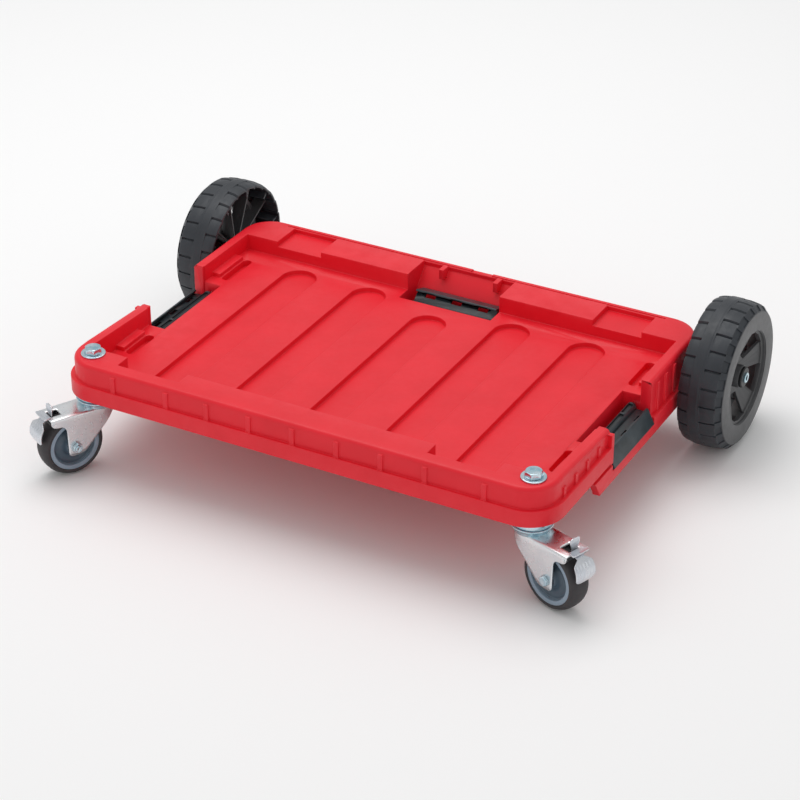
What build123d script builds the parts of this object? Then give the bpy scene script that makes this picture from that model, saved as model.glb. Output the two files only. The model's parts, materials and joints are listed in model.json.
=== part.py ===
"""Rigid moulded platform dolly for stacking tool boxes.

A ribbed plastic deck with a raised border, three swinging box latches, two large fixed rear
wheels on one through axle, and two swivelling front casters with step brakes.

Frame: millimetres, +Z up, +X to the right, the front faces -Y. The floor is Z = 0 and the
origin is under the middle of the overall box.
"""

import os
from math import atan2, cos, degrees, hypot, radians, sin, sqrt

from build123d import *

os.makedirs("parts", exist_ok=True)

# ---------------------------------------------------------------- deck
body_x = 581.0  # width over the upper body
body_y = 415.0  # depth over the upper body
body_r = 36.0  # plan corner radius of the upper body
flange_out = 5.5  # how far the lower band stands out at the sides
flange_front = 4.0  # and at the front and rear
wall_t = 3.0  # moulding wall
floor_z = 109.0  # load floor
border_z = 135.5  # top of the front border
side_z = 129.0  # top of the side and rear walls
round_r = 5.0  # rounding of the outer top edge
band_z = 111.0  # top of the band at the front
front_skirt_z = 92.0  # bottom of the skirt at the front
rear_band_z = 87.0  # top of the band along the sides
rear_skirt_z = 66.5  # bottom of the skirt at the sides and rear
step_y = -99.0  # where the side skirt starts to drop
step_run = 15.0  # length of that slope
seat_x = 554.0  # width of the box seat between the side walls
seat_front = -190.5  # inner face of the front border
seat_rear = 157.0  # inner face of the rear wall
pad_x = 228.0  # inner end of each corner pad
pad_y = -171.0  # rear edge of the corner pads
block_x = 300.0  # width of the raised middle block on the front border
block_y = -172.0  # rear edge of that block
rim_groove_x = 246.0  # half length of the groove along the rear wall's top
slope_start = -160.0  # where the side walls start to fall from the border height
groove_n = 5
groove_pitch = 92.5
groove_w = 43.0
groove_d = 6.0
groove_front = -165.0
groove_rear = 141.0
groove_rear_mid = 114.0  # the middle groove stops short of the rear latch
rib_t = 3.0
rib_low = 97.0  # lower edge of the ribs under the floor
rib_columns = (-230.0, -138.0, -46.0, 46.0, 138.0, 230.0)
rib_rows = (-140.0, -90.0, -38.0, 14.0, 66.0, 118.0)
rib_w = 6.0  # upright ribs on the outside faces
rib_proud = 1.8
panel_top = 122.0  # where the ribs on the sides end
front_panel_top = 129.5  # and those on the front
front_ribs = (0.0, 53.0, 105.0, 156.0, 223.5)  # mirrored about the middle
side_front_ribs = (-163.0, -135.0, -107.0, -79.0)
side_rear_ribs = (76.0, 98.0, 120.0)

# ---------------------------------------------------------------- latches
latch_l = 104.0
latch_off = 4.0  # the latches sit off the middle of the deck by this
bay_l = 110.0  # opening in the wall
pocket_gap = 7.0  # extra length of the floor pocket at each end
pivot_z = 95.5
side_pivot_x = 269.7
rear_pivot_y = 147.8
pin_r = 2.0
fit_gap = 0.05  # radial clearance of a running fit
barrel_r = 5.5
plate_t = 3.0
plate_top = -0.5
side_rest = -5.0  # angle of the plate above level, lying open
rear_rest = 40.0
pocket_floor = 85.0
sill_z = 83.2  # top of the outer wall under a side latch
bay_notch_z = 79.5  # band top under a side latch
window_w = 13.0
window_pitch = 34.0

# ---------------------------------------------------------------- rear wheels
wheel_r = 85.3
wheel_w = 51.0
wheel_gap = 10.2  # from the upper body to the inner face of the wheel
axle_y = 190.1
axle_r = 6.0
axle_bore = 3.2
tread_t = 6.0
sidewall = 20.0  # how far the tyre's outer side reaches in from the tread
rim_t = 5.0
hub_r = 13.0
bush_r = 9.0
bush_flange = 12.0
bush_flange_t = 2.0
wheel_spokes = 10
wheel_rib_t = 2.5
wheel_windows = 5

# ---------------------------------------------------------------- casters
swivel_x = 265.5
swivel_y = -182.0
left_turn = 28.0  # caster direction, outward from straight ahead
right_turn = 71.0
mount_z = 92.0  # underside of the corner boss
boss_r = 22.5
race_t = 2.5  # thickness of the pressed race plates
bolt_r = 5.0
bolt_head_af = 17.0
bolt_head_h = 6.5
washer_r = 13.5
washer_t = 2.0
race_r = 22.0
ball_ring_r = 15.8
ball_r = 2.0
ball_gap = 0.15
ball_n = 14
fork_z = 77.5  # underside of the fork plate
fork_t = 2.5
trail = 36.0
caster_r = 37.0
caster_w = 25.0
cheek_in = 14.5
caster_axle_r = 4.0
sleeve_r = 6.0
brake_pin = (60.0, 72.0)
brake_barrel_r = 4.4
pedal_reach = 80.0
pedal_w = 27.0
neck_w = 11.0
tab_w = 13.0

half_x = body_x / 2
half_y = body_y / 2
wheel_in = half_x + wheel_gap
wheel_out = wheel_in + wheel_w
# The overall box runs from the left pedal's front corner to the back of the rear wheels.
pedal_corner = pedal_reach * cos(radians(left_turn)) + pedal_w / 2 * sin(radians(left_turn))
front_reach = pedal_corner - swivel_y
mid_y = (front_reach - (axle_y + wheel_r)) / 2


def level(z):
    """Horizontal plane at height z, its origin over the middle of the deck."""
    return Plane((0, mid_y, z))


def across(y):
    """Upright plane across the cart at deck depth y: local X is +X, local Y is +Z, facing -Y."""
    return Plane((0, mid_y + y, 0), x_dir=(1, 0, 0), z_dir=(0, -1, 0))


def along(x):
    """Upright plane along the cart at x: local X is +Y from the deck's middle, local Y is +Z."""
    return Plane((x, mid_y, 0), x_dir=(0, 1, 0), z_dir=(1, 0, 0))


def save(piece, name):
    """Label a finished piece and write it."""
    piece.part.label = name
    export_step(piece.part, f"parts/{name}.step")


def block(x0, x1, y0, y1, z0, z1, mode=Mode.ADD):
    """Box between two corners given in deck coordinates, in the open part."""
    with BuildSketch(level(z0)) as plan:
        with Locations(((x0 + x1) / 2, (y0 + y1) / 2)):
            Rectangle(abs(x1 - x0), y1 - y0)
    extrude(plan.sketch, amount=z1 - z0, mode=mode)


# ================================================================ deck
latch_y0 = latch_off - bay_l / 2
latch_y1 = latch_off + bay_l / 2
pocket_y0 = latch_y0 - pocket_gap
pocket_y1 = latch_y1 + pocket_gap * 0.3
side_pocket_in = side_pivot_x - 13.7
rear_pocket_in = rear_pivot_y - 12.5
inner_x = half_x - wall_t
inner_y = half_y - wall_t
seat_half = seat_x / 2
gap_front = latch_y0
gap_side_z = side_z + 0.8
bay_half = bay_l / 2 + 4.0
rear_rim_y = half_y - 9.0
ramp_foot = (rear_pivot_y + 31.6, pivot_z + 6.0)
ramp_head = (rear_rim_y, side_z - 6.5)

with BuildPart() as deck:
    # Upper body, its top falling from the border height to the wall height, edges rounded.
    with BuildSketch(level(front_skirt_z)):
        RectangleRounded(body_x, body_y, body_r)
    extrude(amount=border_z - front_skirt_z)
    with BuildSketch(along(0)):
        with BuildLine():
            Polyline(
                (slope_start, border_z + 5),
                (slope_start, border_z),
                (gap_front, gap_side_z),
                (half_y + 5, side_z),
                (half_y + 5, border_z + 5),
                close=True,
            )
        make_face()
    extrude(amount=half_x + 5, both=True, mode=Mode.SUBTRACT)
    rims = deck.edges().filter_by(lambda e: e.center().Z > side_z - 0.5)
    fillet(rims.filter_by(lambda e: abs(e.center().X) > 250 or abs(e.center().Y - mid_y) > 190), round_r)

    # Band round the front, and the deeper side and rear skirts with their sloping start.
    with BuildSketch(level(front_skirt_z)):
        RectangleRounded(body_x + 2 * flange_out, body_y + 2 * flange_front, body_r + flange_front)
        with Locations((0, half_y + latch_y0)):
            Rectangle(body_x * 2, body_y, mode=Mode.SUBTRACT)
    extrude(amount=band_z - front_skirt_z)
    with BuildSketch(level(rear_skirt_z)):
        RectangleRounded(body_x + 2 * flange_out, body_y + 2 * flange_front, body_r + flange_front)
    extrude(amount=rear_band_z - rear_skirt_z)
    block(-half_x, half_x, -half_y + body_r, half_y - body_r, rear_band_z, front_skirt_z)
    with BuildSketch(along(0)):
        with BuildLine():
            Polyline(
                (-half_y - 20, rear_skirt_z - 5),
                (-half_y - 20, front_skirt_z),
                (step_y, front_skirt_z),
                (step_y + step_run, rear_skirt_z + 3.5),
                (step_y + step_run + 1, rear_skirt_z),
                (step_y + step_run + 1, rear_skirt_z - 5),
                close=True,
            )
        make_face()
    extrude(amount=half_x + 20, both=True, mode=Mode.SUBTRACT)
    # Posts at the front end of each latch bay stand flush with the band.
    for side in (-1, 1):
        block(
            side * (half_x - 2), side * (half_x + flange_out),
            latch_y0 - 6, latch_y0, front_skirt_z - 2, gap_side_z - 4,
        )
    # Rear upper body down to the skirt.
    block(-half_x + body_r, half_x - body_r, 150, half_y, rear_band_z, front_skirt_z)

    # Open underside.
    with BuildSketch(level(rear_skirt_z - 1)):
        with Locations((0, 0)):
            RectangleRounded(2 * inner_x, 2 * inner_y, body_r - wall_t)
    extrude(amount=floor_z - wall_t - rear_skirt_z + 1, mode=Mode.SUBTRACT)

    # Box seat, leaving the border, the corner pads and the middle block.
    with BuildSketch(level(floor_z)):
        with Locations((0, (seat_front + seat_rear) / 2)):
            Rectangle(seat_x, seat_rear - seat_front)
        with Locations((0, (seat_front + block_y) / 2)):
            Rectangle(block_x, block_y - seat_front, mode=Mode.SUBTRACT)
        for side in (-1, 1):
            with Locations((side * (pad_x + seat_half) / 2, (seat_front + pad_y) / 2)):
                Rectangle(seat_half - pad_x, pad_y - seat_front, mode=Mode.SUBTRACT)
    extrude(amount=border_z, mode=Mode.SUBTRACT)

    # Hollow the border and the walls from below.
    with BuildSketch(level(floor_z - wall_t - 0.5)):
        with Locations((0, (seat_front + wall_t * 2 - half_y) / 2 - wall_t)):
            Rectangle(2 * (inner_x - body_r), seat_front + half_y - 2 * wall_t)
        with Locations((0, (block_y - half_y) / 2)):
            Rectangle(block_x - 2 * wall_t, block_y + half_y - 2 * wall_t)
    extrude(amount=border_z - wall_t - floor_z + wall_t + 0.5, mode=Mode.SUBTRACT)
    for side in (-1, 1):
        x0 = side * (seat_half + wall_t)
        x1 = side * inner_x
        block(x0, x1, pad_y + 8, latch_y0 - wall_t, floor_z - wall_t - 0.5, side_z - wall_t, Mode.SUBTRACT)
        block(
            x0, x1, latch_y1 + wall_t, half_y - body_r, floor_z - wall_t - 0.5,
            side_z - wall_t, Mode.SUBTRACT,
        )
        block(
            side * (bay_half + wall_t), side * (inner_x - body_r),
            seat_rear + wall_t, inner_y, floor_z - wall_t - 0.5, side_z - 12, Mode.SUBTRACT,
        )

    # Shallow stiffening ribs under the floor, between the pans of the grooves.
    for x in rib_columns:
        block(x - rib_t / 2, x + rib_t / 2, block_y - 1, seat_rear + 1, rib_low, floor_z - wall_t)
    for y in rib_rows:
        block(-inner_x - 1, inner_x + 1, y - rib_t / 2, y + rib_t / 2, rib_low, floor_z - wall_t)

    # Grooves in the floor, each with its own pan below.
    for i in range(groove_n):
        x = (i - (groove_n - 1) / 2) * groove_pitch
        rear = groove_rear_mid if i == groove_n // 2 else groove_rear
        length = rear - groove_front
        for grow, depth, mode in ((wall_t, groove_d + wall_t, Mode.ADD), (0, groove_d, Mode.SUBTRACT)):
            with BuildSketch(level(floor_z - depth)):
                with Locations(Location((x, (rear + groove_front) / 2), 90)):
                    SlotOverall(length + 2 * grow, groove_w + 2 * grow)
                with Locations((x, groove_front - grow + groove_w)):
                    Rectangle(groove_w + 2 * grow, 2 * groove_w)
            extrude(amount=depth, mode=mode)

    # Corner bosses that carry the casters.
    with BuildSketch(level(mount_z)):
        with Locations((-swivel_x, swivel_y), (swivel_x, swivel_y)):
            Circle(boss_r)
    extrude(amount=floor_z - mount_z)
    with BuildSketch(level(mount_z - 1)):
        with Locations((-swivel_x, swivel_y), (swivel_x, swivel_y)):
            Circle(bolt_r)
    extrude(amount=border_z, mode=Mode.SUBTRACT)

    # Low handling slots beside the walls, each with a rib along it.
    for side in (-1, 1):
        for y0, y1 in ((-125, -78), (76, 132)):
            with BuildSketch(level(floor_z - 8 - wall_t)):
                with Locations(Location((side * 260, (y0 + y1) / 2), 90)):
                    SlotOverall(y1 - y0 + 2 * wall_t, 11 + 2 * wall_t)
            extrude(amount=8)
            with BuildSketch(level(floor_z - 8)):
                with Locations(Location((side * 260, (y0 + y1) / 2), 90)):
                    SlotOverall(y1 - y0, 11)
            extrude(amount=8, mode=Mode.SUBTRACT)
            block(side * 267, side * (seat_half + 1), y0 + 2, y1 - 2, floor_z, floor_z + 5)

    # Side latch bays: pan under the floor, pocket, gap in the wall and notch in the band.
    for side in (-1, 1):
        block(
            side * (side_pocket_in - wall_t), side * (half_x - 1),
            pocket_y0 - wall_t, pocket_y1 + wall_t, pocket_floor - wall_t, floor_z - wall_t,
        )
        block(
            side * side_pocket_in, side * (seat_half + 1), pocket_y0,
            pocket_y1, pocket_floor, border_z, Mode.SUBTRACT,
        )
        block(
            side * seat_half, side * (half_x + 20), latch_y0, latch_y1,
            pocket_floor, border_z, Mode.SUBTRACT,
        )
        block(
            side * (inner_x - 0.2), side * (half_x + 20), latch_y0, latch_y1,
            sill_z, border_z, Mode.SUBTRACT,
        )
        block(side * half_x, side * (half_x + 20), latch_y0, latch_y1, bay_notch_z, border_z, Mode.SUBTRACT)

    # Rear latch bay: pan, pocket and the ramp behind the latch.
    bay_wall = bay_half + wall_t
    pan_z = pocket_floor - wall_t
    block(-bay_wall, bay_wall, rear_pocket_in - wall_t, seat_rear + wall_t, pan_z, floor_z - wall_t)
    block(-bay_wall, bay_wall, seat_rear, inner_y + 1, pan_z, side_z - 10)
    with BuildSketch(along(0)):
        with BuildLine():
            Polyline(
                (rear_pocket_in, border_z),
                (rear_pocket_in, pocket_floor),
                (ramp_foot[0] - 3, pocket_floor),
                ramp_foot,
                ramp_head,
                (rear_rim_y, border_z),
                close=True,
            )
        make_face()
    extrude(amount=bay_half, both=True, mode=Mode.SUBTRACT)
    with BuildSketch(along(0)):
        with BuildLine():
            Polyline(
                (ramp_foot[0] + 1, pan_z - 1),
                (ramp_foot[0] + 4, ramp_foot[1] - 4),
                (inner_y, ramp_head[1] - 7),
                (inner_y, pan_z - 1),
                close=True,
            )
        make_face()
    extrude(amount=bay_half - 1, both=True, mode=Mode.SUBTRACT)
    # Ribs either side of the ramp, and the pockets outside them.
    for x0, x1 in ((-33, -27), (37, 43)):
        block(x0, x1, rear_rim_y - 14, rear_rim_y, ramp_head[1] - 6, side_z)

    # Recesses in the top of the rear wall.
    for side in (-1, 1):
        block(side * 176, side * 235, seat_rear - 1, rear_rim_y, side_z - 7, border_z, Mode.SUBTRACT)

    # Thin groove along the top of the rear wall, and a small notch in its outer rim.
    block(-rim_groove_x, rim_groove_x, rear_rim_y, rear_rim_y + 1.5, side_z - 1.6, border_z, Mode.SUBTRACT)
    block(2, 28, rear_rim_y + 1, half_y + 1, side_z - 2.5, border_z, Mode.SUBTRACT)

    # Upright ribs on the outside of the walls.
    for x in sorted({*front_ribs, *(-x for x in front_ribs)}):
        block(x - rib_w / 2, x + rib_w / 2, -half_y - rib_proud, -half_y + 1, band_z - 1, front_panel_top)
    for side in (-1, 1):
        for y in side_front_ribs:
            block(
                side * (half_x - 1), side * (half_x + rib_proud),
                y - rib_w / 2, y + rib_w / 2, band_z - 1, panel_top,
            )
        for y in side_rear_ribs:
            block(
                side * (half_x - 1), side * (half_x + rib_proud),
                y - rib_w / 2, y + rib_w / 2, rear_band_z - 1, panel_top,
            )

    # Axle bosses at the skirts and the inner ribs, and the axle bore through them all.
    with BuildSketch(along(-inner_x)):
        with Locations((axle_y, wheel_r)):
            Circle(13)
    extrude(amount=14)
    with BuildSketch(along(inner_x - 14)):
        with Locations((axle_y, wheel_r)):
            Circle(13)
    extrude(amount=14)
    with BuildSketch(along(0)):
        with Locations((axle_y, wheel_r)):
            Circle(axle_r)
    extrude(amount=half_x + 20, both=True, mode=Mode.SUBTRACT)

    # Holes for the latch pins.
    for side in (-1, 1):
        with BuildSketch(across(latch_off)):
            with Locations((side * side_pivot_x, pivot_z)):
                Circle(pin_r)
        extrude(amount=bay_l / 2 + pocket_gap + wall_t + 1, both=True, mode=Mode.SUBTRACT)
    with BuildSketch(along(0)):
        with Locations((rear_pivot_y, pivot_z)):
            Circle(pin_r)
    extrude(amount=bay_half + wall_t + 1, both=True, mode=Mode.SUBTRACT)
save(deck, "deck")


# ================================================================ latches
tip = (16.4, 4.4)  # hooked edge of the lip, from the pivot, with the plate level
lip_end = (28.7, -12.0)  # free edge of the outer face
lip_inner = (lip_end[0] - 2.5, lip_end[1] - 1.6)
lip_root = (19.6, plate_top - plate_t)
divider_at = -latch_l / 4


def make_latch(name, plane):
    """One latch. In the plane, local X runs out along the plate and local Y is its upper side."""
    with BuildPart() as latch:
        with BuildSketch(plane) as barrel:
            Circle(barrel_r)
        extrude(barrel.sketch, amount=latch_l / 2, both=True)
        with BuildSketch(plane) as section:
            with BuildLine():
                Polyline(
                    (3, plate_top),
                    (19.0, plate_top),
                    (16.9, 2.2),
                    tip,
                    (18.6, 4.6),
                    lip_end,
                    lip_inner,
                    lip_root,
                    (3, plate_top - plate_t),
                    close=True,
                )
            make_face()
        extrude(section.sketch, amount=latch_l / 2, both=True)
        for end in (-1, 1):
            with BuildSketch(plane.offset(end * (latch_l / 2 - 1.25))) as cheek:
                with BuildLine():
                    Polyline((15.5, -3), lip_root, lip_inner, close=True)
                make_face()
            extrude(cheek.sketch, amount=1.25, both=True)
        # Channel in the top of the barrel, closed at the ends and by one divider.
        for z0, z1 in ((-latch_l / 2 + 3, divider_at - 1.5), (divider_at + 1.5, latch_l / 2 - 3)):
            with BuildSketch(plane.offset(z0)) as channel:
                with Locations((0, barrel_r)):
                    Rectangle(5.0, 6.0)
            extrude(channel.sketch, amount=z1 - z0, mode=Mode.SUBTRACT)
        # Windows under the lip and shallow scallops in its hooked edge.
        for i in (-1, 0, 1):
            with BuildSketch(plane.offset(i * window_pitch - window_w / 2)) as window:
                with Locations((15.6, plate_top - plate_t / 2)):
                    Rectangle(5.0, 2 * plate_t)
            extrude(window.sketch, amount=window_w, mode=Mode.SUBTRACT)
            with BuildSketch(plane.offset(i * window_pitch - window_w / 2)) as scallop:
                with Locations((tip[0], tip[1] - 0.6)):
                    Rectangle(1.4, 2.0)
            extrude(scallop.sketch, amount=window_w, mode=Mode.SUBTRACT)
        with BuildSketch(plane) as bore:
            Circle(pin_r + fit_gap)
        extrude(bore.sketch, amount=latch_l, both=True, mode=Mode.SUBTRACT)
    save(latch, name)


def make_pin(name, plane, span):
    """Straight latch pin, centred on the plane."""
    with BuildPart() as pin:
        with BuildSketch(plane) as disc:
            Circle(pin_r)
        extrude(disc.sketch, amount=span / 2, both=True)
    save(pin, name)


side_pin_l = bay_l + 2 * pocket_gap
for side, name in ((-1, "left"), (1, "right")):
    lean = radians(side_rest)
    hinge_plane = Plane(
        (side * side_pivot_x, mid_y + latch_off, pivot_z),
        x_dir=(side * cos(lean), 0, sin(lean)),
        z_dir=(0, -side, 0),
    )
    make_latch(f"{name}_latch", hinge_plane)
    make_pin(f"{name}_latch_pin", hinge_plane, side_pin_l)
lean = radians(rear_rest)
rear_hinge = Plane(
    (latch_off - 1.0, mid_y + rear_pivot_y, pivot_z),
    x_dir=(0, cos(lean), sin(lean)),
    z_dir=(1, 0, 0),
)
make_latch("rear_latch", rear_hinge)
make_pin("rear_latch_pin", Plane((0, mid_y + rear_pivot_y, pivot_z), z_dir=(1, 0, 0)), 2 * bay_half + 4)


# ================================================================ rear wheels
def wheel_plane(x):
    """Plane square to the axle at x, its origin on the axle: local X is +Y, local Y is +Z."""
    return Plane((x, mid_y + axle_y, wheel_r), x_dir=(0, 1, 0), z_dir=(1, 0, 0))


def turned(side, points):
    """Ring turned about the axle from (distance out from the wheel's inner face, radius) points."""
    plane = Plane(
        (side * wheel_in, mid_y + axle_y, wheel_r), x_dir=(side, 0, 0), z_dir=(0, -side, 0)
    )
    with BuildSketch(plane) as section:
        with BuildLine():
            Polyline(*points, close=True)
        make_face()
    revolve(section.sketch, axis=Axis(plane.origin, plane.x_dir))


def axial_ribs(side, x0, x1, r0, r1, turn):
    """Flat ribs round the wheel, between two radii and two distances out from its inner face."""
    start = min(side * (wheel_in + x0), side * (wheel_in + x1))
    with BuildSketch(wheel_plane(start)) as ribs:
        with PolarLocations((r0 + r1) / 2, wheel_spokes, start_angle=turn):
            Rectangle(r1 - r0, wheel_rib_t)
    extrude(ribs.sketch, amount=x1 - x0)


tyre_in = wheel_r - sidewall
tread_in = wheel_r - tread_t
rim_in = tyre_in - rim_t
face_x0 = wheel_w - 8.0
hub_x1 = 44.0
face_in = 54.0  # inner radius of the flat ring on the outer side
dish_x0 = 29.0  # where the dished spokes meet the hub
dish_t = 4.0
window_r0, window_r1 = 22.0, 51.5
window_half = radians(19.0)
window_turn = 45.0
wheel_rib_in = 70.0
axle_half = wheel_in + hub_x1 + bush_flange_t + 4.0
for side, name in ((-1, "left"), (1, "right")):
    with BuildPart() as tyre:
        turned(side, (
            (face_x0, tyre_in), (wheel_w - 4, tyre_in), (wheel_w, tyre_in + 4),
            (wheel_w, wheel_r - 9), (wheel_w - 7, wheel_r - 1.5), (wheel_w - 17, wheel_r),
            (14, wheel_r), (5, wheel_r - 1.5), (0, wheel_r - 4), (0, tread_in),
            (face_x0 - 6, tread_in), (face_x0, tread_in - 5),
        ))
        axial_ribs(side, 3, face_x0 - 6, wheel_rib_in, tread_in + 1, window_turn)
    save(tyre, f"{name}_wheel_tyre")

    with BuildPart() as rim:
        # Flat ring on the outer side, a stepped ledge inside it, and the dished spokes.
        turned(side, (
            (face_x0, face_in - 4), (face_x0 + 4, face_in - 4), (face_x0 + 4, face_in),
            (wheel_w - 1, face_in), (wheel_w - 1, tyre_in - 0.4), (wheel_w - 4, tyre_in), (face_x0, tyre_in),
        ))
        turned(side, (
            (dish_x0, bush_r + 2), (dish_x0 + dish_t, bush_r + 2), (dish_x0 + dish_t, hub_r),
            (face_x0 + 3, face_in), (face_x0, face_in + 1), (dish_x0, hub_r + 2),
        ))
        turned(side, ((3, bush_r), (hub_x1, bush_r), (hub_x1, hub_r), (3, hub_r)))
        web_low = min(side * (wheel_in + dish_x0 - 1), side * (wheel_in + wheel_w))
        with BuildSketch(wheel_plane(web_low)) as windows:
            with PolarLocations(0, wheel_windows, start_angle=window_turn):
                Polygon(
                    (window_r0, -window_r0 * sin(window_half)),
                    (window_r1 * cos(window_half), -window_r1 * sin(window_half)),
                    (window_r1, 0),
                    (window_r1 * cos(window_half), window_r1 * sin(window_half)),
                    (window_r0, window_r0 * sin(window_half)),
                    align=None,
                )
        extrude(windows.sketch, amount=wheel_w + 1 - dish_x0, mode=Mode.SUBTRACT)
        axial_ribs(side, 14, dish_x0 + 1, hub_r - 1, tread_in - 0.1, window_turn + 180 / wheel_spokes)
        turned(side, (
            (dish_x0 - 3, rim_in), (face_x0, rim_in), (face_x0, tyre_in), (dish_x0 - 3, tyre_in),
        ))
    save(rim, f"{name}_wheel_rim")

    with BuildPart() as bushes:
        turned(side, (
            (3 - bush_flange_t, axle_r + fit_gap), (15, axle_r + fit_gap), (15, bush_r),
            (3, bush_r), (3, bush_flange), (3 - bush_flange_t, bush_flange),
        ))
        turned(side, (
            (hub_x1 - 12, axle_r + fit_gap), (hub_x1 + bush_flange_t, axle_r + fit_gap),
            (hub_x1 + bush_flange_t, bush_flange), (hub_x1, bush_flange), (hub_x1, bush_r),
            (hub_x1 - 12, bush_r),
        ))
    save(bushes, f"{name}_wheel_bushes")

    with BuildPart() as spacer:
        turned(side, (
            (flange_out - wheel_gap, axle_r), (0.9, axle_r), (0.9, axle_r + 3),
            (flange_out - wheel_gap, axle_r + 3),
        ))
    save(spacer, f"{name}_axle_spacer")

    cap_x = hub_x1 + bush_flange_t + 0.5
    with BuildPart() as cap:
        turned(side, (
            (cap_x, axle_r), (cap_x + 1.2, axle_r), (cap_x + 1.2, bush_flange - 1), (cap_x, bush_flange),
        ))
    save(cap, f"{name}_axle_retainer")

with BuildPart() as axle:
    with BuildSketch(wheel_plane(0)):
        Circle(axle_r)
        Circle(axle_bore, mode=Mode.SUBTRACT)
    extrude(amount=axle_half, both=True)
    chamfer(axle.edges().filter_by(GeomType.CIRCLE), 0.6)
save(axle, "rear_axle")


# ================================================================ casters
race_low = mount_z - race_t
crown_top = race_low - 2 * (ball_r + ball_gap)
stem_nut_h = 6.0
lower_race_z1 = fork_z - 0.3
lower_race_z0 = lower_race_z1 - 2.3
stem_low = lower_race_z0 - stem_nut_h - 1.5
head_low = border_z + washer_t
with BuildPart() as bolts:
    with BuildSketch(level(head_low)):
        with Locations((-swivel_x, swivel_y), (swivel_x, swivel_y)):
            RegularPolygon(bolt_head_af / 2, 6, major_radius=False)
    extrude(amount=bolt_head_h)
    chamfer(bolts.faces().sort_by(Axis.Z)[-2:].edges(), 0.8)
    with BuildSketch(level(stem_low)):
        with Locations((-swivel_x, swivel_y), (swivel_x, swivel_y)):
            Circle(bolt_r)
    extrude(amount=head_low - stem_low)
save(bolts, "caster_bolts")

with BuildPart() as washers:
    with BuildSketch(level(border_z)):
        with Locations((-swivel_x, swivel_y), (swivel_x, swivel_y)):
            Circle(washer_r)
            Circle(bolt_r, mode=Mode.SUBTRACT)
    extrude(amount=washer_t)
save(washers, "caster_bolt_washers")

with BuildPart() as nuts:
    with BuildSketch(level(lower_race_z0 - stem_nut_h)):
        with Locations((-swivel_x, swivel_y), (swivel_x, swivel_y)):
            RegularPolygon(bolt_head_af / 2, 6, major_radius=False)
            Circle(bolt_r, mode=Mode.SUBTRACT)
    extrude(amount=stem_nut_h)
save(nuts, "caster_lock_nuts")


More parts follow.
